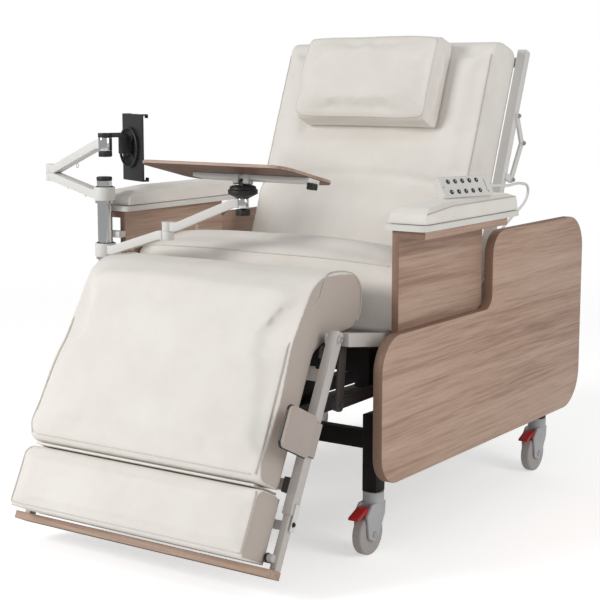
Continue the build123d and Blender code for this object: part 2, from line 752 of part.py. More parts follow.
def screen_arms():
    """The lower arm on its collar, and the upper arm between elbow and wrist."""
    with BuildPart() as lower:
        arm_bar(pole, screen_elbow, screen_collar[0] + 4, screen_elbow_z - side_gap - arm_depth, (22, 10))
        post(pole, screen_collar, collar_out)
        post(screen_elbow, (screen_elbow_z - side_gap - arm_depth, screen_elbow_z - side_gap), arm_half + 1)
        post(screen_elbow, (screen_elbow_z - side_gap - 1, screen_elbow_z + 17), pivot_r)
        post(pole, (screen_collar[0] - 1, screen_collar[1] + 1), pole_r + running_gap, mode=Mode.SUBTRACT)
    save(lower.part, "screen_arm_lower")
    with BuildPart() as upper:
        arm_bar(screen_elbow, screen_wrist, screen_elbow_z, screen_wrist_z[0] + 5, (10, 10))
        post(screen_elbow, (screen_elbow_z, screen_elbow_z + arm_depth), arm_half + 1)
        post(screen_elbow, (screen_elbow_z - 1, screen_elbow_z + 17.5), pivot_r + running_gap,
             mode=Mode.SUBTRACT)
        post(screen_wrist, screen_wrist_z, 17)
        post(screen_wrist, (screen_wrist_z[0] - 1, screen_wrist_z[1] + 1), pivot_r + running_gap,
             mode=Mode.SUBTRACT)
    save(upper.part, "screen_arm_upper")


def screen_holder():
    """The wrist bracket with its wire ring, and the clamp plate that holds a tablet."""
    a = radians(screen_facing)
    way, across = Vector(cos(a), sin(a), 0), Vector(sin(a), -cos(a), 0)
    centre = Vector(screen_wrist[0], screen_wrist[1], screen_centre_z)
    top = screen_wrist_z[1] + side_gap
    width, height, thick = screen_plate
    facing = Plane(origin=tuple(centre), x_dir=tuple(across), z_dir=tuple(way))
    with BuildPart() as bracket:
        post(screen_wrist, (top, top + 11), 18)
        post(screen_wrist, (screen_wrist_z[0] - 10, top + 1), pivot_r)
        with BuildSketch(Plane(origin=(screen_wrist[0], screen_wrist[1], 0), x_dir=tuple(way),
                               z_dir=(way.Y, -way.X, 0))):
            outline([(10, top), (10, top + 11), (screen_reach - 24, top + 11), (screen_reach - 16, top + 3),
                     (screen_reach - 16, screen_centre_z - 16), (screen_reach - 34, screen_centre_z - 16),
                     (screen_reach - 34, top)])
        extrude(amount=13, both=True)
        with BuildSketch(facing.offset(screen_reach - 16)):
            Circle(21)
        extrude(amount=9)
        with BuildSketch(facing.offset(screen_reach - 30)):
            Circle(9)
        extrude(amount=20)
        with BuildSketch(Plane(origin=tuple(centre + way * (screen_reach - 12) + across * ring_r),
                               x_dir=tuple(across), z_dir=(0, 0, 1))):
            Circle(ring_wire)
        revolve(axis=Axis(tuple(centre + way * (screen_reach - 12)), tuple(way)), revolution_arc=360)
        for turn in (45, 135, 225, 315):
            spoke = across * cos(radians(turn)) + Vector(0, 0, sin(radians(turn)))
            with BuildSketch(Plane(origin=tuple(centre + way * (screen_reach - 12) + spoke * 17),
                                   z_dir=tuple(spoke))):
                Circle(2.5)
            extrude(amount=ring_r - 17)
    save(bracket.part, "screen_bracket")
    face = screen_reach - 7 + side_gap
    with BuildPart() as plate:
        with BuildSketch(facing.offset(face)):
            with Locations((plate_shift, 0)):
                RectangleRounded(width, height, 3)
        extrude(amount=thick)
        for end in (-1, 1):
            for x in (plate_shift - width / 2 + 9, plate_shift + width / 2 - 9):
                with BuildSketch(facing.offset(face + thick)):
                    with Locations((x, end * (height / 2 - 2))):
                        Rectangle(14, 4)
                extrude(amount=14)
                with BuildSketch(facing.offset(face + thick + 11)):
                    with Locations((x, end * (height / 2 - 6))):
                        Rectangle(14, 8)
                extrude(amount=3)
    save(plate.part, "screen_plate")


def table_arms():
    """The lower arm on its collar, and the upper arm that carries the table hub."""
    with BuildPart() as lower:
        arm_bar(pole, table_elbow, table_collar[0] + 8, table_elbow_z - side_gap - arm_depth, (22, 10))
        post(pole, table_collar, collar_out)
        post(table_elbow, (table_elbow_z - side_gap - arm_depth, table_elbow_z - side_gap), arm_half + 1)
        post(table_elbow, (table_elbow_z - side_gap - 1, table_elbow_z + 17), pivot_r)
        post(pole, (table_collar[0] - 1, table_collar[1] + 1), pole_r + running_gap, mode=Mode.SUBTRACT)
    save(lower.part, "table_arm_lower")
    with BuildPart() as upper:
        arm_bar(table_elbow, table_hub, table_elbow_z, table_hub_z[0] + 1, (10, 8))
        post(table_elbow, (table_elbow_z, table_elbow_z + arm_depth), arm_half + 1)
        post(table_elbow, (table_elbow_z - 1, table_elbow_z + 17.5), pivot_r + running_gap,
             mode=Mode.SUBTRACT)
        post(table_hub, table_hub_z, 14)
        post(table_hub, (table_hub_z[0] - 1, table_hub_z[1] + 1), pivot_r + running_gap, mode=Mode.SUBTRACT)
    save(upper.part, "table_arm_upper")


table_a = radians(table_tilt)


def on_table(y, n):
    """(Y, Z) of a point y behind the tilt axis along the table, and n above it."""
    return (table_hub[1] + y * cos(table_a) + n * sin(table_a),
            table_pivot_z - y * sin(table_a) + n * cos(table_a))


def table_swivel():
    """The black housing that turns on the upper arm, with the tongue that the table tilts on."""
    low = table_hub_z[1] + side_gap
    with BuildPart() as hub:
        with BuildSketch(Plane(origin=(table_hub[0], table_hub[1], 0), x_dir=(1, 0, 0), z_dir=(0, -1, 0))):
            with BuildLine():
                Polyline((0, low), (15, low), (36, low + 11), (36, hub_top - 10), (32, hub_top - 8),
                         (32, hub_top - 3), (26, hub_top), (0, hub_top), close=True)
            make_face()
        revolve(axis=Axis((table_hub[0], table_hub[1], 0), (0, 0, 1)), revolution_arc=360)
        post(table_hub, (table_hub_z[0] - 11, low + 1), pivot_r)
        block((table_hub[0] - 7, table_hub[0] + 7), (table_hub[1] - 7.5, table_hub[1] + 7.5),
              (hub_top - 2, table_pivot_z))
        pin((table_hub[0] - 7, table_hub[0] + 7), (table_hub[1], table_pivot_z), 7.5)
        pin((table_hub[0] - 24, table_hub[0] + 24), (table_hub[1], table_pivot_z), 4)
    save(hub.part, "table_swivel")


def table_support():
    """The rail under the table top, with the two cheeks that hold the tilt pin."""
    top = table_lift - 0.3
    low = top - table_rail_thick
    with BuildPart() as rail:
        slab(four(on_table, table_rail_y, (low, top)),
             (table_hub[0] + table_rail[0], table_hub[0] + table_rail[1]))
        for side in (-1, 1):
            x = (table_hub[0] + side * 7.5, table_hub[0] + side * 22)
            slab([on_table(-11, -5), on_table(11, -5), on_table(11, top), on_table(-11, top)], x, (5, 5))
            pin(x, (table_hub[1], table_pivot_z), 4 + running_gap, mode=Mode.SUBTRACT)
    save(rail.part, "table_rail")


def table_top():
    """The thin wooden table top with rounded corners."""
    width, depth, thick = table_size
    origin = (table_hub[0] + table_shift, *on_table(0, table_lift))
    with BuildPart() as top:
        with BuildSketch(Plane(origin=origin, x_dir=(1, 0, 0), z_dir=(0, sin(table_a), cos(table_a)))):
            RectangleRounded(width, depth, 40)
        extrude(amount=thick)
        chamfer(top.faces().sort_by(Axis.Z)[-1].edges(), 1.5)
    save(top.part, "table_top")


def knob(plane, stem_r, radius, height, depth, label):
    """A lobed clamping knob that turns on a stem; the plane's Z points away from the stem's root."""
    with BuildPart() as grip:
        with BuildSketch(plane):
            Circle(radius * 0.6)
        extrude(amount=height * 0.3)
        with BuildSketch(plane.offset(height * 0.3)):
            Circle(radius)
        extrude(amount=height * 0.7)
        with BuildSketch(plane.offset(-1)):
            Circle(stem_r + running_gap)
        extrude(amount=depth + 1, mode=Mode.SUBTRACT)
    save(grip.part, label)


def knobs():
    down = (0, 0, -1)
    knob(Plane(origin=(*screen_wrist, screen_wrist_z[0] - side_gap), x_dir=(1, 0, 0), z_dir=down), pivot_r,
         18, 15, 10, "wrist_knob")
    knob(Plane(origin=(*table_hub, table_hub_z[0] - 3), x_dir=(1, 0, 0), z_dir=down), pivot_r,
         19, 15, 10, "hub_knob")
    foot = on_table(rail_knob[1], table_lift - 0.3 - table_rail_thick - side_gap)
    knob(Plane(origin=(table_hub[0] + rail_knob[0], *foot), x_dir=(1, 0, 0),
               z_dir=(0, -sin(table_a), -cos(table_a))), 4, 14, 14, 8, "rail_knob")


# ---------------------------------------------------------------- handset and its cord

turn_a, lean_a = radians(handset_turn), radians(handset_lean)
handset_along = Vector(cos(turn_a), sin(turn_a), 0)
handset_level = Vector(-sin(turn_a), cos(turn_a), 0)
handset_up = handset_level * cos(lean_a) + Vector(0, 0, sin(lean_a))
handset_face = handset_along.cross(handset_up)
cord_start = (Vector(handset_foot) + handset_along * (handset_size[0] / 2) + handset_up * (handset_size[1] / 2)
              + handset_face * (handset_size[2] / 2))
handset_plane = Plane(origin=handset_foot, x_dir=tuple(handset_along), z_dir=tuple(handset_face))


def handset():
    """The control case, leaning on its rear rest, with ten sprung buttons in two rows."""
    length, width, thick = handset_size
    pitch_x, pitch_y = button_pitch
    mid = width / 2
    out = Axis(handset_foot, tuple(handset_face))
    spots = [(x * pitch_x - 8, mid + y * pitch_y / 2) for y in (1, -1) for x in (-2, -1, 0, 1, 2)]
    with BuildPart() as case:
        with BuildSketch(handset_plane):
            with Locations((0, mid)):
                RectangleRounded(length, width, 7)
        extrude(amount=thick)
        fillet(case.faces().sort_by(out)[-1].edges(), 2.5)
        with BuildSketch(Plane(origin=handset_foot, x_dir=tuple(handset_level), z_dir=tuple(handset_along))):
            outline([(0, 0), (rest_height / tan(lean_a), 0), (rest_height / tan(lean_a), rest_height)])
        extrude(amount=rest_half, both=True)
        with BuildSketch(handset_plane.offset(thick - button_depth)):
            with Locations(*spots):
                Circle(button_r + button_gap)
        extrude(amount=button_depth + 1, mode=Mode.SUBTRACT)
    save(case.part, "handset_case")
    for number, spot in enumerate(spots, 1):
        with BuildPart() as button:
            with BuildSketch(handset_plane.offset(thick - button_depth + button_proud)):
                with Locations(spot):
                    Circle(button_r)
            extrude(amount=button_depth)
            chamfer(button.faces().sort_by(out)[-1].edges(), 0.8)
        save(button.part, f"button_{number}")


cord_points = [cord_start, cord_start + handset_along * 34, (466, 24, 831), (457, 88, 834), (448, 148, 829),
               (441, 186, 822), (436, 204, 804), (429, 202, 778), (420, 182, 758), (412, 150, 736),
               (socket_x, 106, 712), (socket_x, 70, 680), (socket_x, 52, 632), (socket_x, 22, socket_height),
               (socket_x, inner_rear - socket_depth, socket_height)]


def cord_and_socket():
    """The handset's cord, which loops down behind the armrest to a socket on the inner panel."""
    points = [Vector(p) for p in cord_points]
    radii = []
    for a, b, c in zip(points, points[1:], points[2:]):
        half_turn = radians((b - a).get_angle(c - b) / 2)
        radii.append(0.45 * min((b - a).length, (c - b).length) / tan(half_turn))
    print("cord radii", [round(r, 1) for r in radii])
    with BuildPart() as cord:
        with BuildLine() as path:
            FilletPolyline(*points, radius=radii)
        with BuildSketch(Plane(origin=points[0], z_dir=points[1] - points[0])):
            Circle(cord_d / 2)
        sweep()
    save(cord.part, "handset_cord")
    length = sum(edge.length for edge in path.edges())
    print("cord length", round(length, 1), "volume ratio",
          round(cord.part.volume / (length * pi * cord_d ** 2 / 4), 4))


base_legs()
base_beams()
lifting_columns()
outer_panels()
inner_panels()
arm_pads()
for end, y in (("front", -wheelbase), ("rear", wheelbase)):
    for flank, x in (("left", -track), ("right", track)):
        caster(x, y, f"{end}_{flank}")
arm_trays()
seat_carrier()
seat_frame()
seat_pad()
leg_frame()
leg_pad()
leg_side_pad()
leg_levers()
leg_tie_bars()
foot_frame()
foot_pad()
foot_plate()
back_frame()
back_pad()
pillow_pad()
pole_parts()
screen_arms()
screen_holder()
table_arms()
table_swivel()
table_support()
table_top()
knobs()
handset()
cord_and_socket()
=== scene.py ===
import json
from math import atan2, cos, pi, radians, sin

import bpy
import numpy
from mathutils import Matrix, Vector, noise

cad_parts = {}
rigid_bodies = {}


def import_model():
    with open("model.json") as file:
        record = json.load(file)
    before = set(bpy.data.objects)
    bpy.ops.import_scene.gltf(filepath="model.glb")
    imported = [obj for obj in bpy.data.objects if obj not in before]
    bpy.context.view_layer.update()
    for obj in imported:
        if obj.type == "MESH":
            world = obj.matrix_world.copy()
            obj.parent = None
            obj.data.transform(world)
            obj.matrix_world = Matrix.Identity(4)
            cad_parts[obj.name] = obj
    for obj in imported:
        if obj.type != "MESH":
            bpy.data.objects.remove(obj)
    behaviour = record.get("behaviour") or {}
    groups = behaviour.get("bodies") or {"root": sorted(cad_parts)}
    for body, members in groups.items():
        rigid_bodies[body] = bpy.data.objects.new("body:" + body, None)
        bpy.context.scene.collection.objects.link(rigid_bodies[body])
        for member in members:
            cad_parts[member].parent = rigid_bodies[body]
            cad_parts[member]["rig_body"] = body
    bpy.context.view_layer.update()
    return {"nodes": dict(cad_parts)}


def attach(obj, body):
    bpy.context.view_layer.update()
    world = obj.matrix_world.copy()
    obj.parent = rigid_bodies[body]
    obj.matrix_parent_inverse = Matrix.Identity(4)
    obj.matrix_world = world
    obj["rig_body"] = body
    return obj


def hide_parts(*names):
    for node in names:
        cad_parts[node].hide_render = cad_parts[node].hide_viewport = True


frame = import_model()
nodes = frame["nodes"]
scene = bpy.context.scene


# ---------------------------------------------------------------- selecting, applying, settling

def deselect():
    for thing in list(bpy.context.selected_objects):
        thing.select_set(False)


def pick(piece):
    """Makes one piece the only selected and active one."""
    deselect()
    piece.select_set(True)
    bpy.context.view_layer.objects.active = piece


def named(name):
    """Names the primitive that was just added, and its mesh."""
    piece = bpy.context.object
    piece.name = name
    piece.data.name = name
    return piece


def settle(piece):
    """Moves a piece's place into its mesh, so that its object sits at the origin."""
    pick(piece)
    bpy.ops.object.transform_apply(location=True, rotation=True, scale=True)
    return piece


def modify(piece, kind, **settings):
    """Adds a modifier and applies it."""
    pick(piece)
    step = piece.modifiers.new(kind.title(), kind)
    for key, value in settings.items():
        setattr(step, key, value)
    bpy.ops.object.modifier_apply(modifier=step.name)
    return piece


def smooth(piece, angle=35):
    pick(piece)
    bpy.ops.object.shade_smooth_by_angle(angle=radians(angle))
    return piece


def edit(piece, mode="FACE"):
    """Opens a piece for editing with nothing selected."""
    pick(piece)
    bpy.ops.object.mode_set(mode="EDIT")
    bpy.ops.mesh.select_mode(type=mode)
    bpy.ops.mesh.select_all(action="DESELECT")


def done():
    bpy.ops.object.mode_set(mode="OBJECT")


def finish_piece(piece, body, finish):
    """Gives a settled piece its material and the body it rides on."""
    piece.data.materials.clear()
    piece.data.materials.append(finish)
    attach(piece, body)
    return piece


# ---------------------------------------------------------------- shader helpers

class Value:
    """A socket in a material. Arithmetic on it adds Math nodes."""

    def __init__(self, finish, socket):
        self.finish = finish
        self.socket = socket

    def out(self, name):
        return Value(self.finish, self.socket.node.outputs[name])

    def math(self, operation, first, second):
        return self.finish.node("ShaderNodeMath", {"operation": operation}, {0: first, 1: second})

    def __add__(self, other):
        return self.math("ADD", self, other)

    def __sub__(self, other):
        return self.math("SUBTRACT", self, other)

    def __mul__(self, other):
        return self.math("MULTIPLY", self, other)

    def __gt__(self, other):
        return self.math("GREATER_THAN", self, other)

    def __rsub__(self, other):
        return self.math("SUBTRACT", other, self)

    __radd__ = __add__
    __rmul__ = __mul__


class Finish:
    """A material under construction."""

    def __init__(self, name):
        self.material = bpy.data.materials.new(name)
        self.material.use_nodes = True
        self.tree = self.material.node_tree
        self.tree.nodes.clear()

    def node(self, kind, settings=None, sockets=None):
        made = self.tree.nodes.new(kind)
        for key, value in (settings or {}).items():
            if key == "stops":
                ramp = made.color_ramp
                while len(ramp.elements) < len(value):
                    ramp.elements.new(1.0)
                for element, (place, shade) in zip(ramp.elements, value):
                    element.position = place
                    element.color = (*shade, 1.0) if len(shade) == 3 else shade
            else:
                setattr(made, key, value)
        for key, value in (sockets or {}).items():
            if isinstance(value, Value):
                self.tree.links.new(value.socket, made.inputs[key])
            else:
                made.inputs[key].default_value = value
        return Value(self, made.outputs[0]) if made.outputs else None

    def place(self):
        """The point on the piece, in metres."""
        return self.node("ShaderNodeTexCoord").out("Object")

    def facing(self):
        """The way the surface faces, split into its three parts."""
        normal = self.node("ShaderNodeTexCoord").out("Normal")
        return self.node("ShaderNodeSeparateXYZ", {}, {0: normal})

    def stretched(self, scale):
        """The point with each axis scaled, for a pattern that is longer one way."""
        return self.node("ShaderNodeMapping", {}, {"Vector": self.place(), "Scale": scale})

    def noise(self, vector, scale, detail=2.0, roughness=0.5, distortion=0.0):
        return self.node("ShaderNodeTexNoise", {}, {
            "Vector": vector, "Scale": scale, "Detail": detail, "Roughness": roughness,
            "Distortion": distortion})

    def ramp(self, factor, *stops):
        return self.node("ShaderNodeValToRGB", {"stops": stops}, {"Fac": factor})

    def mix(self, factor, first, second):
        made = self.node("ShaderNodeMix", {"data_type": "RGBA"}, {0: factor, 6: first, 7: second})
        return Value(self, made.socket.node.outputs[2])

    def bump(self, height, distance, strength=1.0, under=None):
        sockets = {"Height": height, "Distance": distance, "Strength": strength}
        if under is not None:
            sockets["Normal"] = under
        return self.node("ShaderNodeBump", {}, sockets)

    def surface(self, **sockets):
        """Ends the material in a Principled shader."""
        shader = self.node("ShaderNodeBsdfPrincipled", {}, {
            key.replace("_", " "): value for key, value in sockets.items()})
        self.node("ShaderNodeOutputMaterial", {}, {"Surface": shader})
        return self.material


# ---------------------------------------------------------------- finishes

def woven_fabric(name, light, dark, pitch=0.0016, flank=None):
    """Matt upholstery cloth: a fine plain weave on every face, with faint mottling; flank paints shade on
    the side faces.
    """
    f = Finish(name)
    coordinates = f.node("ShaderNodeTexCoord")
    point = coordinates.out("Object")
    axes = f.node("ShaderNodeSeparateXYZ", {}, {0: point})
    facing = f.node("ShaderNodeSeparateXYZ", {}, {0: coordinates.out("Normal")})
    threads = {}
    for axis in "XYZ":
        phase = axes.out(axis) * (2 * pi / pitch)
        threads[axis] = f.node("ShaderNodeMath", {"operation": "SINE"}, {0: phase})
    height = 0
    for axis, first, second in (("X", "Y", "Z"), ("Y", "X", "Z"), ("Z", "X", "Y")):
        height = height + threads[first] * threads[second] * facing.out(axis) * facing.out(axis)
    mottle = f.noise(point, 9.0, 4.0, 0.6)
    slub = f.noise(f.stretched((1.0, 1.0, 0.15)), 420.0, 2.0, 0.6)
    shade = f.mix(f.ramp(mottle, (0.30, (0, 0, 0)), (0.70, (1, 1, 1))), (*dark, 1), (*light, 1))
    shade = f.mix(slub * 0.10, shade, (*dark, 1))
    # flank paints shade: faces turned along X take the darker flank colour in place of the lit one.
    if flank:
        painted_side_shade = f.ramp(facing.out("X") * facing.out("X"), (0.42, (0, 0, 0)), (0.74, (1, 1, 1)))
        shade = f.mix(painted_side_shade, shade, f.mix(mottle, (*[c * 0.92 for c in flank], 1), (*flank, 1)))
    soft = f.bump(f.noise(point, 60.0, 3.0, 0.55), 0.0012, 0.35)
    return f.surface(
        Base_Color=shade, Roughness=mottle * 0.12 + 0.80, Normal=f.bump(height, 0.00012, 0.5, soft),
        Sheen_Weight=0.25, Sheen_Roughness=0.45, Specular_IOR_Level=0.25)


def piping_cord(name, light, dark):
    f = Finish(name)
    point = f.place()
    twist = f.noise(point, 500.0, 2.0)
    return f.surface(
        Base_Color=f.mix(twist, (*dark, 1), (*light, 1)), Roughness=twist * 0.2 + 0.7,
        Normal=f.bump(twist, 0.0003, 0.6), Specular_IOR_Level=0.25)


def oak_laminate(name, along, pale, mid, deep, edge="", under=False):
    """Light brown oak laminate with fine straight grain along one axis; under paints shade on downward
    faces.
    """
    f = Finish(name)
    squash = {"X": (0.035, 1, 1), "Y": (1, 0.035, 1), "Z": (1, 1, 0.035)}[along]
    wander = {"X": (0.5, 3, 3), "Y": (3, 0.5, 3), "Z": (3, 3, 0.5)}[along]
    bands = f.noise(f.stretched(squash), 26.0, 3.0, 0.55, 0.6)
    streaks = f.noise(f.stretched(squash), 150.0, 4.0, 0.62, 0.3)
    pores = f.noise(f.stretched(squash), 620.0, 2.0, 0.5)
    cloud = f.noise(f.stretched(wander), 1.4, 2.0)
    grain = bands * 0.42 + streaks * 0.43 + cloud * 0.15
    shade = f.ramp(grain, (0.36, deep), (0.50, mid), (0.66, pale))
    pits = f.ramp(pores, (0.30, (1, 1, 1)), (0.42, (0, 0, 0)))
    shade = f.mix(pits * 0.30, shade, (*deep, 1))
    if edge:
        facing = f.facing()
        band = 1 - (facing.out(edge) * facing.out(edge) > 0.5)
        dark, light = ((*[c * share for c in deep], 1) for share in (0.62, 1.15))
        shade = f.mix(band, shade, f.mix(grain, dark, light))
    # under paints shade: faces turned downward become dark brown, as if in shadow.
    if under:
        low = f.node("ShaderNodeMath", {"operation": "LESS_THAN"}, {0: f.facing().out("Z"), 1: -0.5})
        shade = f.mix(low, shade, f.mix(grain, (0.10, 0.052, 0.036, 1), (0.17, 0.095, 0.068, 1)))
    return f.surface(
        Base_Color=shade, Roughness=0.50 - bands * 0.10 + pits * 0.12,
        Normal=f.bump(streaks * 0.5 - pits * 0.5, 0.0004, 0.25), Specular_IOR_Level=0.35)


def powder_coat(name, colour, roughness=0.38, peel=0.10, specular=0.5):
    """Sprayed and baked paint: faint orange peel and slight unevenness."""
    f = Finish(name)
    point = f.place()
    cloud = f.noise(point, 12.0, 3.0, 0.6)
    skin = f.noise(point, 900.0, 2.0, 0.5)
    scuff = f.ramp(f.noise(point, 55.0, 5.0, 0.7), (0.62, (0, 0, 0)), (0.80, (1, 1, 1)))
    dim = tuple(c * 0.90 for c in colour)
    return f.surface(
        Base_Color=f.mix(cloud, (*dim, 1), (*colour, 1)),
        Roughness=cloud * 0.08 + scuff * 0.10 + roughness, Normal=f.bump(skin, 0.0002, peel),
        Specular_IOR_Level=specular)


def polished_metal(name, colour, roughness, drawn=0.0):
    """Bare metal, polished or drawn with fine upright lines."""
    f = Finish(name)
    point = f.place()
    lines = f.noise(f.stretched((1, 1, 0.02)), 900.0, 2.0, 0.6)
    haze = f.noise(point, 18.0, 3.0, 0.6)
    dim = tuple(c * 0.86 for c in colour)
    return f.surface(
        Base_Color=f.mix(haze, (*dim, 1), (*colour, 1)), Metallic=1.0,
        Roughness=haze * 0.10 + lines * drawn + roughness, Normal=f.bump(lines, 0.0001, drawn))


def moulded_plastic(name, colour, roughness=0.45, grain=0.3):
    """Moulded plastic with a fine spark-eroded grain."""
    f = Finish(name)
    point = f.place()
    texture = f.noise(point, 700.0, 2.0, 0.6)
    cloud = f.noise(point, 15.0, 2.0)
    dim = tuple(c * 0.88 for c in colour)
    return f.surface(
        Base_Color=f.mix(cloud, (*dim, 1), (*colour, 1)), Roughness=texture * 0.12 + roughness,
        Normal=f.bump(texture, 0.00025, grain), Specular_IOR_Level=0.45)


upholstery = woven_fabric("upholstery", (0.88, 0.855, 0.815), (0.82, 0.79, 0.745))
grey_piping = piping_cord("grey_piping", (0.62, 0.58, 0.54), (0.50, 0.46, 0.42))
self_piping = piping_cord("self_piping", (0.80, 0.77, 0.72), (0.66, 0.63, 0.58))
panel_oak = oak_laminate("panel_oak", "Y", (0.60, 0.44, 0.35), (0.50, 0.345, 0.265),
                         (0.33, 0.205, 0.15), edge="X")
# cross_oak paints shade on its downward faces (under=True).
cross_oak = oak_laminate("cross_oak", "X", (0.56, 0.41, 0.32), (0.46, 0.32, 0.245),
                         (0.30, 0.19, 0.14), under=True)
white_paint = powder_coat("white_paint", (0.80, 0.79, 0.77))
grey_paint = powder_coat("grey_paint", (0.085, 0.075, 0.072), 0.42, 0.1, 0.35)
black_paint = powder_coat("black_paint", (0.007, 0.006, 0.006), 0.45, 0.1, 0.25)
# The frame tubes are white paint; this darker copy paints in the shade that falls on them.
shade_darkened_white_paint = powder_coat("shade_darkened_white_paint", (0.62, 0.585, 0.56))
chrome = polished_metal("chrome", (0.80, 0.81, 0.82), 0.06)
drawn_steel = polished_metal("drawn_steel", (0.62, 0.63, 0.64), 0.24, 0.15)
black_plastic = moulded_plastic("black_plastic", (0.020, 0.020, 0.021), 0.42)
white_plastic = moulded_plastic("white_plastic", (0.82, 0.81, 0.78), 0.36, 0.15)
grey_plastic = moulded_plastic("grey_plastic", (0.52, 0.53, 0.54), 0.38, 0.2)
tread_rubber = moulded_plastic("tread_rubber", (0.47, 0.44, 0.42), 0.62, 0.5)
red_plastic = moulded_plastic("red_plastic", (0.52, 0.028, 0.030), 0.30, 0.15)

side_fabric = woven_fabric("side_fabric", (0.50, 0.44, 0.40), (0.44, 0.385, 0.345))
# rest_fabric: the flank colour paints shade on the cushions' side faces.
rest_fabric = woven_fabric("rest_fabric", (0.88, 0.855, 0.815), (0.82, 0.79, 0.745),
                           flank=(0.56, 0.49, 0.44))

node_looks = {
    "outer_panels": (panel_oak, "laminate"), "inner_panels": (panel_oak, "laminate"),
    "foot_plate": (cross_oak, "laminate"), "table_top": (cross_oak, "laminate"),
    "base_legs": (black_paint, "black_paint"), "base_beams": (black_paint, "black_paint"),
    "lift_columns_outer": (black_paint, "black_paint"), "lift_columns_inner": (drawn_steel, "aluminium"),
    "seat_carrier": (black_paint, "black_paint"), "leg_levers": (grey_paint, "grey_paint"),
    "leg_tie_bars": (grey_paint, "grey_paint"), "leg_frame": (shade_darkened_white_paint, "white_paint"),
    "foot_frame": (shade_darkened_white_paint, "white_paint"), "seat_frame": (shade_darkened_white_paint, "white_paint"),
    "pole": (chrome, "chrome"),
    "wrist_knob": (black_plastic, "black_plastic"), "hub_knob": (black_plastic, "black_plastic"),
    "rail_knob": (black_plastic, "black_plastic"), "table_swivel": (black_plastic, "black_plastic"),
    "screen_bracket": (black_plastic, "black_plastic"), "screen_plate": (black_plastic, "black_plastic"),
    "handset_case": (white_plastic, "white_plastic"), "arm_trays": (white_plastic, "white_plastic"),
    "handset_cord": (white_plastic, "white_plastic"),
}
family_looks = (("button", black_plastic, "black_plastic"), ("caster_fork", grey_plastic, "grey_plastic"),
                ("caster_wheel", tread_rubber, "grey_rubber"), ("brake_pedal", red_plastic, "red_plastic"))
soft_nodes = ("arm_pads", "seat_cushion", "leg_cushion", "foot_cushion", "back_cushion", "pillow",
              "leg_side_pad")
looks = {}
for name, node in nodes.items():
    look = node_looks.get(name, (white_paint, "white_paint"))
    if name in soft_nodes:
        look = (upholstery, "upholstery")
    for start, finish, family_slot in family_looks:
        if name.startswith(start):
            look = (finish, family_slot)
    looks[name] = look
    node.data.materials.clear()
    node.data.materials.append(look[0])


# ---------------------------------------------------------------- frames of the leaning parts

leg_lean = radians(26.3)
back_lean = radians(21)
knee_y, knee_z = -0.600, 0.528
hip_y, hip_z = 0.120, 0.575


def on_leg(x, s, t):
    """A point s down the leg rest from the knee pin and t behind its middle line."""
    return Vector((x, knee_y - s * sin(leg_lean) + t * cos(leg_lean),
                   knee_z - s * cos(leg_lean) - t * sin(leg_lean)))


def on_back(x, s, t):
    """A point s up the backrest from the hip pin and t behind its middle line."""
    return Vector((x, hip_y + s * sin(back_lean) + t * cos(back_lean),
                   hip_z + s * cos(back_lean) - t * sin(back_lean)))


# ---------------------------------------------------------------- hard parts with eased edges

def copy_node(name, label):
    """A copy of a CAD part as a new piece, its doubled points merged."""
    piece = bpy.data.objects.new(label, nodes[name].data.copy())
    scene.collection.objects.link(piece)
    edit(piece, "VERT")
    bpy.ops.mesh.select_all(action="SELECT")
    bpy.ops.mesh.remove_doubles(threshold=0.00002)
    bpy.ops.mesh.normals_make_consistent(inside=False)
    done()
    return piece


def ease(name, width, segments=2):
    """Stands a copy with rounded edges in for a CAD part."""
    piece = copy_node(name, name + "_eased")
    edit(piece)
    bpy.ops.mesh.select_all(action="SELECT")
    bpy.ops.mesh.dissolve_limited(angle_limit=radians(0.5))
    done()
    modify(piece, "BEVEL", width=width, segments=segments, limit_method="ANGLE", angle_limit=radians(40))
    smooth(piece)
    finish, kind = looks[name]
    finish_piece(piece, nodes[name]["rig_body"], finish)
    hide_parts(name)
    return piece


eased = {
    0.0020: ("outer_panels", "inner_panels"),
    0.0012: ("base_legs", "base_beams", "seat_carrier", "seat_frame", "leg_frame", "foot_frame",
             "back_frame", "screen_arm_lower", "screen_arm_upper", "table_arm_lower", "table_arm_upper",
             "lift_columns_outer", "lift_columns_inner"),
    0.0007: ("leg_levers", "leg_tie_bars", "table_rail", "screen_bracket", "screen_plate", "table_swivel",
             "pole_brackets", "foot_plate"),
}
for width, names in eased.items():
    for name in names:
        ease(name, width)
for name in nodes:
    if name.startswith(("caster_fork", "brake_pedal")):
        ease(name, 0.0012)


# ---------------------------------------------------------------- the handset's cord

along = Vector((cos(radians(75)), sin(radians(75)), 0))
level = Vector((-sin(radians(75)), cos(radians(75)), 0))
up = level * cos(radians(60)) + Vector((0, 0, sin(radians(60))))
face = along.cross(up)
handset_foot = Vector((0.446, -0.161, 0.8096))
cord_start = handset_foot + along * 0.086 + up * 0.0275 + face * 0.009
cord_points = [cord_start, cord_start + along * 0.034,
               (0.466, 0.024, 0.831), (0.457, 0.088, 0.834), (0.448, 0.148, 0.829), (0.441, 0.186, 0.822),
               (0.436, 0.204, 0.804), (0.429, 0.202, 0.778), (0.420, 0.182, 0.758), (0.412, 0.150, 0.736),
               (0.408, 0.106, 0.712), (0.408, 0.070, 0.680), (0.408, 0.052, 0.632), (0.408, 0.022, 0.584),
               (0.408, -0.024, 0.584)]


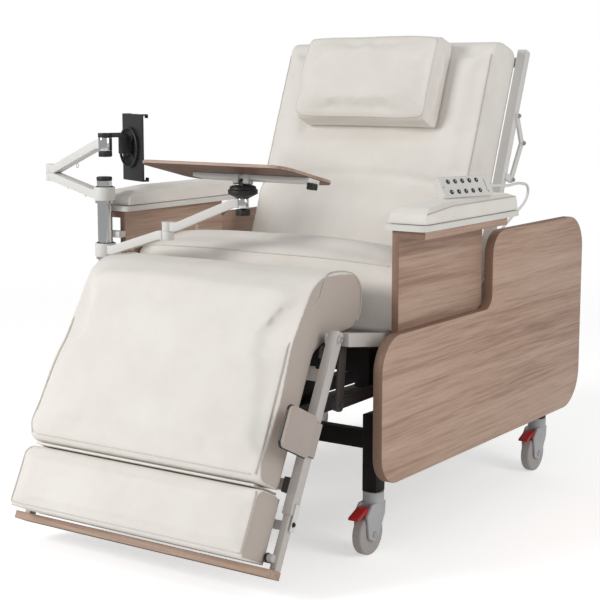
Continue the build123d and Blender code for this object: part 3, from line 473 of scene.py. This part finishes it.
def lay_cord(name, points, radius, finish):
    """A round cord on one smooth spline."""
    line = bpy.data.curves.new(name, "CURVE")
    line.dimensions = "3D"
    line.bevel_depth = radius
    line.bevel_resolution = 4
    line.resolution_u = 12
    spline = line.splines.new("NURBS")
    spline.points.add(len(points) - 1)
    for point, place in zip(spline.points, points):
        point.co = (*place, 1.0)
    spline.order_u = 3
    spline.use_endpoint_u = True
    cord = bpy.data.objects.new(name, line)
    scene.collection.objects.link(cord)
    line.materials.append(finish)
    return cord


cord = lay_cord("handset_lead", cord_points, 0.0035, white_plastic)
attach(cord, "lift")
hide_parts("handset_cord")


# ---------------------------------------------------------------- cushions

blowing_frames = 20
air_pressure = 4.0


def spots(piece):
    """The piece's points as an array."""
    flat = numpy.empty(len(piece.data.vertices) * 3)
    piece.data.vertices.foreach_get("co", flat)
    return flat.reshape(-1, 3)


def place_spots(piece, points):
    piece.data.vertices.foreach_set("co", points.ravel())
    piece.data.update()


def outward(piece):
    """The piece's point normals as an array."""
    flat = numpy.empty(len(piece.data.vertices) * 3)
    piece.data.vertices.foreach_get("normal", flat)
    return flat.reshape(-1, 3)


def fade(values, low, high):
    """0 below low, 1 above high, and smooth between them."""
    t = numpy.clip((values - low) / (high - low), 0, 1)
    return t * t * (3 - 2 * t)


def swell(piece, voxel, inset, travel, walls, shape=None, pull=0.004):
    """Blows a slightly smaller copy of the cushion up as cloth, and holds it within its neighbours."""
    piece.data.remesh_voxel_size = voxel
    pick(piece)
    bpy.ops.object.voxel_remesh()
    if shape:
        place_spots(piece, shape(spots(piece)))
    rest = spots(piece)
    normals = outward(piece)
    place_spots(piece, rest - normals * inset)
    cloth = piece.modifiers.new("Cloth", "CLOTH")
    cloth.settings.quality = 4
    cloth.settings.mass = 0.25
    cloth.settings.tension_stiffness = 12
    cloth.settings.compression_stiffness = 12
    cloth.settings.shear_stiffness = 6
    cloth.settings.bending_stiffness = 0.6
    cloth.settings.use_pressure = True
    cloth.settings.uniform_pressure_force = air_pressure
    cloth.settings.effector_weights.gravity = 0
    cloth.point_cache.frame_start = 1
    cloth.point_cache.frame_end = blowing_frames
    for number in range(1, blowing_frames + 1):
        scene.frame_set(number)
    blown = piece.evaluated_get(bpy.context.evaluated_depsgraph_get())
    grown = numpy.empty(len(blown.data.vertices) * 3)
    blown.data.vertices.foreach_get("co", grown)
    shift = grown.reshape(-1, 3) - rest
    piece.modifiers.remove(cloth)
    scene.frame_set(1)
    size = numpy.linalg.norm(shift, axis=1)
    share = numpy.minimum(1, travel(rest) / numpy.maximum(size, 1e-6))
    inward = numpy.clip(-(shift * normals).sum(axis=1), 1e-6, None)
    share = numpy.minimum(share, pull / inward)
    print(piece.name, "moved", round(float(size.max()), 4), "m")
    rest = rest + shift * share[:, None]
    for point, normal in walls:
        over = numpy.clip((rest - numpy.array(point)) @ numpy.array(normal), 0, None)
        rest = rest - over[:, None] * numpy.array(normal)
    place_spots(piece, rest)
    modify(piece, "SMOOTH", factor=0.5, iterations=7)
    modify(piece, "SUBSURF", levels=1, render_levels=1)
    return piece


def furrow(piece, lines, width, depth):
    """Presses sewn lines into the surface, each a list of points."""
    points = spots(piece)
    normals = outward(piece)
    press = numpy.zeros(len(points))
    for line in lines:
        for start, end in zip(line, line[1:]):
            a, b = numpy.array(start), numpy.array(end)
            t = numpy.clip(((points - a) @ (b - a)) / ((b - a) @ (b - a)), 0, 1)
            away = numpy.linalg.norm(points - (a + t[:, None] * (b - a)), axis=1)
            press = numpy.maximum(press, numpy.exp(-(away / width) ** 2))
    place_spots(piece, points - normals * (press * depth)[:, None])


def crease(piece, weight, size, depth, seed, stretch=(1, 1, 1)):
    """Raises soft wrinkles where weight is above 0."""
    points = spots(piece)
    normals = outward(piece)
    amount = weight(points)
    lift = numpy.zeros(len(points))
    for number in numpy.nonzero(amount > 0.01)[0]:
        x, y, z = points[number]
        spot = Vector((x / stretch[0], y / stretch[1], z / stretch[2])) / size
        lift[number] = noise.noise(spot + Vector((seed, 0, 0)))
    place_spots(piece, points + normals * (lift * amount * depth)[:, None])


def finish_cushion(piece, body, name, finish):
    smooth(piece, 60)
    finish_piece(piece, body, finish)
    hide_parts(name)
    return piece


def piping(name, piece, path, body, radius, finish, reach=0.035):
    """A cord of piping on a cushion: path holds points and the directions out of the edge."""
    line = []
    for place, out in path:
        out = Vector(out).normalized()
        start = Vector(place) + out * reach
        found, spot = piece.ray_cast(start, -out, distance=2 * reach)[:2]
        if not found:
            spot = piece.closest_point_on_mesh(start)[1]
        line.append(spot + out * radius * 0.6)
    cord = lay_cord(name, line, radius, finish)
    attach(cord, body)
    return cord


leg_front, foot_front, back_face = -0.120, -0.105, -0.127
down_leg = (0, -sin(leg_lean), -cos(leg_lean))
behind_leg = (0, cos(leg_lean), -sin(leg_lean))
up_back = (0, sin(back_lean), cos(back_lean))
behind_back = (0, cos(back_lean), -sin(back_lean))


def along_leg(points):
    """How far down the leg rest, and how far behind its middle line, each point is."""
    y, z = points[:, 1] - knee_y, points[:, 2] - knee_z
    return -y * sin(leg_lean) - z * cos(leg_lean), y * cos(leg_lean) - z * sin(leg_lean)


def along_back(points):
    """How far up the backrest, and how far behind its middle line, each point is."""
    y, z = points[:, 1] - hip_y, points[:, 2] - hip_z
    return y * sin(back_lean) + z * cos(back_lean), y * cos(back_lean) - z * sin(back_lean)


def flip(direction):
    return tuple(-part for part in direction)


def side_walls(half):
    return [((half, 0, 0), (1, 0, 0)), ((-half, 0, 0), (-1, 0, 0))]


# The seat: crowned across its width, flat on its board.
def seat_shape(points):
    height = fade(points[:, 2], 0.52, 0.66)
    points[:, 2] -= 0.022 * numpy.abs(points[:, 0] / 0.392) ** 2.6 * height
    return points


seat = copy_node("seat_cushion", "seat_pad")
swell(seat, 0.009, 0.006,
      lambda p: 0.004 + 0.018 * fade(p[:, 2], 0.56, 0.64) * fade(-p[:, 1], 0.0, 0.12),
      side_walls(0.3965), seat_shape)
crease(seat, lambda p: fade(p[:, 2], 0.60, 0.66), 0.09, 0.004, 3.0, (2.2, 1, 1))
finish_cushion(seat, "lift", "seat_cushion", upholstery)


# The leg cushion: a soft front that rolls over behind the knee.
def leg_shape(points):
    """Widens the front part, which reaches past the frame's levers to the tubes."""
    s, t = along_leg(points)
    wide = fade(numpy.abs(points[:, 0]), 0.26, 0.325) * fade(s, 0.04, 0.20) * fade(-t, 0.012, 0.040)
    points[:, 0] += numpy.sign(points[:, 0]) * 0.013 * wide
    return points


leg = copy_node("leg_cushion", "leg_rest_pad")
swell(leg, 0.009, 0.006,
      lambda p: (0.003 + 0.019 * fade(-along_leg(p)[1], 0.02, 0.08)
                 * fade(0.40 - along_leg(p)[0], 0.04, 0.12)),
      side_walls(0.3435) + [(on_leg(0, 0.3572, 0), down_leg)], leg_shape, 0.0015)
crease(leg, lambda p: fade(-along_leg(p)[1], 0.03, 0.10) * fade(0.30 - along_leg(p)[0], 0.0, 0.30),
       0.075, 0.007, 8.0, (3.2, 1, 1))
finish_cushion(leg, "leg", "leg_cushion", rest_fabric)

foot = copy_node("foot_cushion", "foot_rest_pad")
swell(foot, 0.007, 0.003, lambda p: 0.002 + 0.007 * fade(-along_leg(p)[1], 0.05, 0.09),
      side_walls(0.3415) + [(on_leg(0, 0.3626, 0), flip(down_leg)), (on_leg(0, 0.5185, 0), down_leg),
                            (on_leg(0, 0.4, -0.010), behind_leg)], pull=0.0015)
finish_cushion(foot, "foot", "foot_cushion", rest_fabric)


# The back: fuller at the small of the back and at the shoulders, pressed flat behind the pillow.
def back_travel(points):
    s, t = along_back(points)
    behind_pillow = (fade(0.235 - numpy.abs(points[:, 0]), 0.0, 0.03) * fade(s, 0.31, 0.36)
                     * fade(0.63 - s, 0.0, 0.03))
    return 0.002 + 0.018 * fade(-t, 0.06, 0.11) * fade(s, 0.16, 0.28) * (1 - behind_pillow)


back = copy_node("back_cushion", "back_rest_pad")
swell(back, 0.009, 0.005, back_travel, side_walls(0.3325) + [(on_back(0, 0, 0.0015), behind_back)])
lumbar_line = [on_back(x / 100, 0.20 + 0.035 * (1 - (x / 32) ** 2), back_face - 0.004)
               for x in range(-32, 33, 4)]
furrow(back, [lumbar_line], 0.013, 0.006)
crease(back, lambda p: fade(-along_back(p)[1], 0.09, 0.12) * fade(along_back(p)[0], 0.12, 0.2)
       * fade(0.40 - along_back(p)[0], 0.0, 0.14), 0.085, 0.008, 5.0, (3.0, 1, 1))
finish_cushion(back, "back", "back_cushion", upholstery)


# The pillow: thin at its corners, plump in the middle, flat where it lies on the backrest.
def pillow_shape(points):
    s, t = along_back(points)
    u = numpy.abs(points[:, 0]) / 0.205
    v = numpy.abs(s - 0.482) / 0.122
    pull = 0.014 * numpy.clip(u * v, 0, 1) ** 3
    lift = numpy.clip((-0.1274 - t) / 0.092, 0, 1)
    return points + (pull * lift)[:, None] * numpy.array(behind_back)


pillow = copy_node("pillow", "head_pillow")
swell(pillow, 0.006, 0.005, lambda p: 0.002 + 0.014 * fade(-along_back(p)[1], 0.14, 0.18),
      [(on_back(0, 0, -0.1278), behind_back)], pillow_shape, 0.005)
crease(pillow, lambda p: fade(-along_back(p)[1], 0.14, 0.18), 0.06, 0.004, 2.0, (2, 1, 1))
finish_cushion(pillow, "back", "pillow", upholstery)

pads = copy_node("arm_pads", "arm_rest_pads")
swell(pads, 0.005, 0.003, lambda p: 0.001 + 0.005 * fade(p[:, 2], 0.775, 0.795),
      [((0, 0, 0.7704), (0, 0, -1))])
finish_cushion(pads, "lift", "arm_pads", upholstery)

side_pad = copy_node("leg_side_pad", "leg_side_plates")
modify(side_pad, "BEVEL", width=0.0025, segments=3, limit_method="ANGLE", angle_limit=radians(40))
finish_cushion(side_pad, "leg", "leg_side_pad", side_fabric)


# ---------------------------------------------------------------- piping and seams

def rim_of_leg(side):
    """Up the front edge of the leg cushion and over its roll."""
    path = []
    for step in range(18):
        s = 0.338 - step * 0.017
        path.append((on_leg(side * 0.333, s, leg_front), (side, -cos(leg_lean), sin(leg_lean))))
    for step in range(18):
        turn = radians(168 - step * 12)
        out = (0, cos(turn), sin(turn))
        place = Vector((side * 0.322, -0.522, 0.596)) + Vector(out) * 0.085
        path.append((place, (side, out[1], out[2])))
    return path


def straight(start, end, out, count=24):
    """A path along a straight edge."""
    start, end = Vector(start), Vector(end)
    return [(start.lerp(end, step / (count - 1)), out) for step in range(count)]


front_leg = Vector((0, -cos(leg_lean), sin(leg_lean)))
down = Vector(down_leg)
front_back = Vector((0, -cos(back_lean), sin(back_lean)))
for side, flank, cord_finish in ((1, "left", grey_piping), (-1, "right", self_piping)):
    aside = Vector((side, 0, 0))
    piping(f"leg_piping_{flank}", leg, rim_of_leg(side), "leg", 0.0022, cord_finish, 0.07)
    piping(f"foot_piping_{flank}", foot,
           straight(on_leg(side * 0.336, 0.372, foot_front), on_leg(side * 0.336, 0.506, foot_front),
                    aside + front_leg), "foot", 0.0020, cord_finish)
    piping(f"foot_base_piping_{flank}", foot,
           straight(on_leg(side * 0.336, 0.512, foot_front + 0.010), on_leg(side * 0.336, 0.512, -0.020),
                    aside + down), "foot", 0.0015, self_piping)
    piping(f"back_piping_{flank}", back,
           straight(on_back(side * 0.322, 0.16, back_face), on_back(side * 0.322, 0.575, back_face),
                    aside + front_back), "back", 0.0015, cord_finish)
    piping(f"arm_piping_{flank}", pads,
           straight((side * 0.484, -0.408, 0.796), (side * 0.484, -0.30, 0.807), (side, 0, 1), 12)
           + straight((side * 0.484, -0.29, 0.808), (side * 0.484, 0.036, 0.808), (side, 0, 1)),
           "lift", 0.0016, grey_piping, 0.02)
piping("leg_base_piping", leg,
       straight(on_leg(-0.31, 0.350, leg_front), on_leg(0.31, 0.350, leg_front), front_leg + down, 40),
       "leg", 0.0014, self_piping, 0.05)
piping("foot_front_piping", foot,
       straight(on_leg(-0.33, 0.508, foot_front), on_leg(0.33, 0.508, foot_front), front_leg + down, 40),
       "foot", 0.0014, self_piping, 0.04)
piping("seat_piping", seat, straight((-0.36, -0.39, 0.68), (0.36, -0.39, 0.68), (0, -1, 0.8), 40),
       "lift", 0.0016, self_piping, 0.08)


def pillow_rim():
    """Round the front face of the pillow."""
    path = []
    sides = (((-0.185, 0.364), (0.185, 0.364), (0, -1)), ((0.203, 0.380), (0.203, 0.584), (1, 0)),
             ((0.185, 0.600), (-0.185, 0.600), (0, 1)), ((-0.203, 0.584), (-0.203, 0.380), (-1, 0)))
    for start, end, out in sides:
        for step in range(14):
            part = step / 13
            x = start[0] + (end[0] - start[0]) * part
            s = start[1] + (end[1] - start[1]) * part
            way = Vector((out[0], 0, 0)) + Vector(up_back) * out[1] + front_back
            path.append((on_back(x, s, -0.212), way))
    return path + path[:1]


piping("pillow_piping", pillow, pillow_rim(), "back", 0.0016, self_piping, 0.08)


# ---------------------------------------------------------------- small hard parts

def rod(name, start, end, radius, body, finish, sides=32, width=0.0006):
    """A round or many-sided bar between two points, its rims eased."""
    start, end = Vector(start), Vector(end)
    turn = (end - start).to_track_quat("Z", "Y").to_euler()
    bpy.ops.mesh.primitive_cylinder_add(vertices=sides, radius=radius, depth=(end - start).length,
                                        location=(start + end) / 2, rotation=turn)
    piece = settle(named(name))
    modify(piece, "BEVEL", width=width, segments=2, limit_method="ANGLE", angle_limit=radians(50))
    smooth(piece)
    return finish_piece(piece, body, finish)


def ring(name, centre, axis, radius, wire, body, finish):
    """A round ring about an axis, a little flattened."""
    turn = Vector(axis).to_track_quat("Z", "Y").to_euler()
    bpy.ops.mesh.primitive_torus_add(major_radius=radius, minor_radius=wire, major_segments=40,
                                     minor_segments=10, location=centre, rotation=turn)
    piece = settle(named(name))
    edit(piece, "VERT")
    bpy.ops.mesh.select_all(action="SELECT")
    bpy.ops.transform.shrink_fatten(value=-wire * 0.08)
    done()
    smooth(piece, 60)
    return finish_piece(piece, body, finish)


def bar(name, frame_point, s, t, x, body, finish, width=0.0008):
    """A flat bar along a leaning part."""
    bpy.ops.mesh.primitive_cube_add(size=1)
    piece = named(name)
    for corner in piece.data.vertices:
        u, v, w = (0 if part < 0 else 1 for part in corner.co)
        corner.co = frame_point(x[u], s[v], t[w])
    edit(piece)
    bpy.ops.mesh.select_all(action="SELECT")
    bpy.ops.mesh.normals_make_consistent(inside=False)
    done()
    modify(piece, "BEVEL", width=width, segments=2, limit_method="ANGLE", angle_limit=radians(40))
    smooth(piece)
    return finish_piece(piece, body, finish)


def bolt(name, place, axis, radius, body, finish=None):
    """A hexagon head on a washer."""
    place, axis = Vector(place), Vector(axis).normalized()
    finish = finish or drawn_steel
    rod(name + "_washer", place, place + axis * 0.0012, radius * 1.35, body, finish,
        32, 0.0003)
    rod(name + "_head", place + axis * 0.0012, place + axis * (0.0012 + radius * 0.7), radius, body,
        finish, 6, 0.0004)


def lobed(name, node, base, axis, radius, height, body):
    """A clamping knob with finger lobes, in place of the plain one."""
    base, axis = Vector(base), Vector(axis).normalized()
    turn = axis.to_track_quat("Z", "Y")
    bpy.ops.mesh.primitive_cylinder_add(vertices=72, radius=radius, depth=height)
    piece = named(name)
    for corner in piece.data.vertices:
        x, y, z = corner.co
        swing = atan2(y, x)
        share = 0.91 + 0.09 * cos(6 * swing)
        corner.co = base + turn @ Vector((x * share, y * share, z + height / 2))
    modify(piece, "BEVEL", width=0.0018, segments=3, limit_method="ANGLE", angle_limit=radians(50))
    smooth(piece)
    finish_piece(piece, body, black_plastic)
    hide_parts(node)
    return piece


def side_backing():
    """The black plate behind the side pad: a little larger all round, and thinner."""
    backing = copy_node("leg_side_pad", "leg_side_backing")
    points = spots(backing)
    s, t = along_leg(points)
    down_by, behind_by = s - 0.228, t + 0.075
    grow = numpy.stack([numpy.zeros(len(s)), down_by * -sin(leg_lean) + behind_by * cos(leg_lean),
                        down_by * -cos(leg_lean) - behind_by * sin(leg_lean)], axis=1) * 0.035
    points = points + grow
    points[:, 0] = 0.3716 + (points[:, 0] - 0.3715) * 0.38
    place_spots(backing, points)
    smooth(backing)
    finish_piece(backing, "leg", black_plastic)


# Leg and foot rest.
side_backing()

for side, flank in ((1, "left"), (-1, "right")):
    out = (side, 0, 0)
    bar(f"slide_plate_{flank}", on_leg, (0.372, 0.432), (-0.004, 0.013),
        sorted((side * 0.3715, side * 0.3745)), "leg", white_paint)
    bolt(f"slide_bolt_{flank}", on_leg(side * 0.3745, 0.416, 0.003), out, 0.0042, "leg", black_plastic)
    bolt(f"knee_bolt_{flank}", on_leg(side * 0.377, 0, 0), out, 0.0050, "lift", drawn_steel)
    rod(f"bumper_{flank}", on_leg(side * 0.3424, 0.496, -0.017), on_leg(side * 0.3475, 0.496, -0.017),
        0.0105, "foot", black_plastic, 40, 0.0018)
    bar(f"gusset_{flank}", on_leg, (0.318, 0.352), (-0.008, 0.012),
        sorted((side * 0.3285, side * 0.349)), "leg", grey_paint)
    bolt(f"lever_bolt_{flank}", (side * 0.342, -0.548, 0.3677), out, 0.0062, "leg", grey_paint)

bar("gap_strip", on_leg, (0.3576, 0.3622), (-0.098, -0.006), (-0.318, 0.318), "foot", rest_fabric)

# Pole and arms.
pole_x, pole_y = -0.438, -0.456
arm_y = -0.450
hub_x = -0.001
rod("pole_cap", (pole_x, pole_y, 0.8362), (pole_x, pole_y, 0.846), 0.0200, "lift", black_plastic,
    40, 0.0025)
for number, height in enumerate((0.7835, 0.8205, 0.6395, 0.6765)):
    ring(f"pole_ring_{number}", (pole_x, pole_y, height), (0, 0, 1), 0.0212, 0.0018, "lift",
         black_plastic)
clips = (("screen_lower", (-0.600, -0.418, 0.812)), ("screen_lower", (-0.520, -0.437, 0.796)),
         ("table_lower", (-0.330, -0.476, 0.672)), ("table_upper", (-0.120, -0.479, 0.738)),
         ("screen_upper", (-0.560, -0.424, 0.868)))
for number, (body, place) in enumerate(clips):
    ring(f"cable_clip_{number}", place, (1, 0.2, 0), 0.0052, 0.0012, body, white_plastic)

lobed("wrist_knob_lobed", "wrist_knob", (pole_x, arm_y, 0.9115), (0, 0, -1), 0.018, 0.015,
      "wrist_knob")
lobed("hub_knob_lobed", "hub_knob", (hub_x, arm_y, 0.785), (0, 0, -1), 0.019, 0.015, "hub_knob")
tilt = radians(13)
tilt_down = Vector((0, -sin(tilt), -cos(tilt)))
rail_foot = Vector((0.183, arm_y + 0.024 * cos(tilt), 0.850 - 0.024 * sin(tilt))) - tilt_down * 0.0077
lobed("rail_knob_lobed", "rail_knob", rail_foot, tilt_down, 0.014, 0.014, "rail_knob")
rod("hub_stub", (hub_x, arm_y, 0.7885), (hub_x, arm_y, 0.8105), 0.0146, "table_upper", chrome)
rod("wrist_sleeve", (pole_x, arm_y, 0.9125), (pole_x, arm_y, 0.9445), 0.0176, "screen_upper", chrome)
for side, flank in ((-1, "right"), (1, "left")):
    rod(f"tilt_nut_{flank}", (hub_x + side * 0.0222, arm_y, 0.850), (hub_x + side * 0.0270, arm_y, 0.850),
        0.0065, "table_tilt", drawn_steel, 6)

# Backrest braces.
for side, flank in ((1, "left"), (-1, "right")):
    for number, (s, t) in enumerate(((0.450, -0.002), (0.393, 0.054), (0.284, 0.032))):
        bolt(f"brace_bolt_{flank}_{number}", on_back(side * 0.3682, s, t), (side, 0, 0), 0.0046, "back")
    for number, s in enumerate((0.215, 0.232)):
        bolt(f"back_bolt_{flank}_{number}", on_back(side * 0.3582, s, 0), (side, 0, 0), 0.0036, "back")

# Casters: a rim line on both sides of every wheel, and a nut on each end of its axle.
for end, y in (("front", -0.441), ("rear", 0.441)):
    for flank, x in (("left", -0.366), ("right", 0.366)):
        for side in (-1, 1):
            label = f"{end}_{flank}_{'out' if side > 0 else 'in'}"
            axle = Vector((x, y - 0.025, 0.050))
            ring(f"wheel_rim_{label}", axle + Vector((side * 0.0130, 0, 0)), (1, 0, 0), 0.036, 0.0013,
                 f"wheel_{end}_{flank}", grey_plastic)
            rod(f"axle_cap_{label}", axle + Vector((side * 0.0200, 0, 0)),
                axle + Vector((side * 0.0225, 0, 0)), 0.0085, f"fork_{end}_{flank}", drawn_steel,
                6)

# Handset: a ring round every button, a plain mark on each, and at the cord end a dark strip of painted
# shade where the slot is.
button_rows = [(x * 0.0245 - 0.008, 0.0275 + y * 0.0135) for y in (1, -1) for x in (-2, -1, 0, 1, 2)]
mark_paint = moulded_plastic("mark_paint", (0.78, 0.77, 0.74), 0.5, 0.1)
dark_mark = moulded_plastic("dark_mark", (0.05, 0.045, 0.045), 0.5, 0.1)


def on_handset(u, v, w):
    return handset_foot + along * u + up * v + face * w


for number, (u, v) in enumerate(button_rows, 1):
    ring(f"button_ring_{number}", on_handset(u, v, 0.0181), face, 0.0062, 0.0007, "lift",
         grey_plastic)
    way = 1 if number <= 5 else -1
    bpy.ops.mesh.primitive_cylinder_add(vertices=3, radius=0.0026, depth=0.0004)
    mark = named(f"button_mark_{number}")
    for corner in mark.data.vertices:
        x, y, z = corner.co
        corner.co = on_handset(u + x * 0.8, v + y * way, 0.0199 + z)
    modify(mark, "BEVEL", width=0.0001, segments=1)
    finish_piece(mark, f"button_{number}", mark_paint)
# A dark strip on the face: painted shade standing in for the slot's recess.
bar("slot_painted_shade", on_handset, (0.012, 0.043), (0.0178, 0.0183), (0.0660, 0.0672), "lift", dark_mark,
    0.0002)
handset_spots = (("handset_dot", 0.069, 0.010, 0.0016), ("handset_lamp", -0.078, 0.0275, 0.0014))
for label, u, v, radius in handset_spots:
    rod(label, on_handset(u, v, 0.0178), on_handset(u, v, 0.0184), radius, "lift", dark_mark,
        20, 0.0002)
rod("cord_boot", cord_start - along * 0.001, cord_start + along * 0.016, 0.0052, "lift", white_plastic,
    24, 0.0012)


# ---------------------------------------------------------------- stage, light and camera

def build_stage():
    """A pale floor that fades into a white room, which lights the chair less than it shows."""
    bpy.ops.mesh.primitive_plane_add(size=14, location=(0, 0, 0))
    floor = named("floor")
    f = Finish("studio_floor")
    cloud = f.noise(f.place(), 0.8, 2.0)
    seen = f.node("ShaderNodeLightPath").out("Is Camera Ray")
    away = f.node("ShaderNodeVectorMath", {"operation": "LENGTH"}, {0: f.place()}).out("Value") * 0.1
    glow = f.mix(seen, (0.1, 0.1, 0.1, 1), (0.50, 0.50, 0.50, 1))
    floor.data.materials.append(f.surface(
        Base_Color=f.mix(cloud, (0.88, 0.88, 0.88, 1), (0.91, 0.91, 0.91, 1)), Roughness=0.9,
        Emission_Color=glow, Emission_Strength=1.0, Specular_IOR_Level=0.05,
        Alpha=f.ramp(away, (0.20, (1, 1, 1)), (0.42, (0, 0, 0)))))
    world = bpy.data.worlds.new("studio")
    scene.world = world
    world.use_nodes = True
    tree = world.node_tree
    background = tree.nodes["Background"]
    background.inputs["Color"].default_value = (1.0, 1.0, 1.0, 1)
    seen = tree.nodes.new("ShaderNodeLightPath")
    strength = tree.nodes.new("ShaderNodeMapRange")
    strength.inputs["To Min"].default_value = 0.40
    strength.inputs["To Max"].default_value = 1.0
    tree.links.new(seen.outputs["Is Camera Ray"], strength.inputs["Value"])
    tree.links.new(strength.outputs["Result"], background.inputs["Strength"])


def add_light(name, place, target, width, height, power, colour):
    lamp = bpy.data.lights.new(name, "AREA")
    lamp.shape = "RECTANGLE"
    lamp.size = width
    lamp.size_y = height
    lamp.energy = power
    lamp.color = colour
    holder = bpy.data.objects.new(name, lamp)
    scene.collection.objects.link(holder)
    holder.location = place
    holder.rotation_euler = (Vector(target) - Vector(place)).to_track_quat("-Z", "Y").to_euler()


def build_camera():
    """A long lens, a little above seat height, on the occupant's left front."""
    eye = bpy.data.cameras.new("camera")
    eye.sensor_width = 36
    eye.lens = 87.3
    eye.clip_end = 50
    holder = bpy.data.objects.new("camera", eye)
    scene.collection.objects.link(holder)
    holder.location = (2.080, -3.2472, 1.110)
    holder.rotation_euler = (radians(90 - 8.9), 0, radians(34.4))
    scene.camera = holder


build_stage()
add_light("key", (-2.4, -3.8, 2.6), (0, -0.2, 0.6), 1.6, 1.6, 112, (1.0, 0.985, 0.965))
add_light("side", (3.8, -0.4, 2.2), (0.3, 0, 0.5), 1.8, 2.4, 46, (1.0, 0.975, 0.95))
build_camera()
scene.view_settings.view_transform = "Standard"
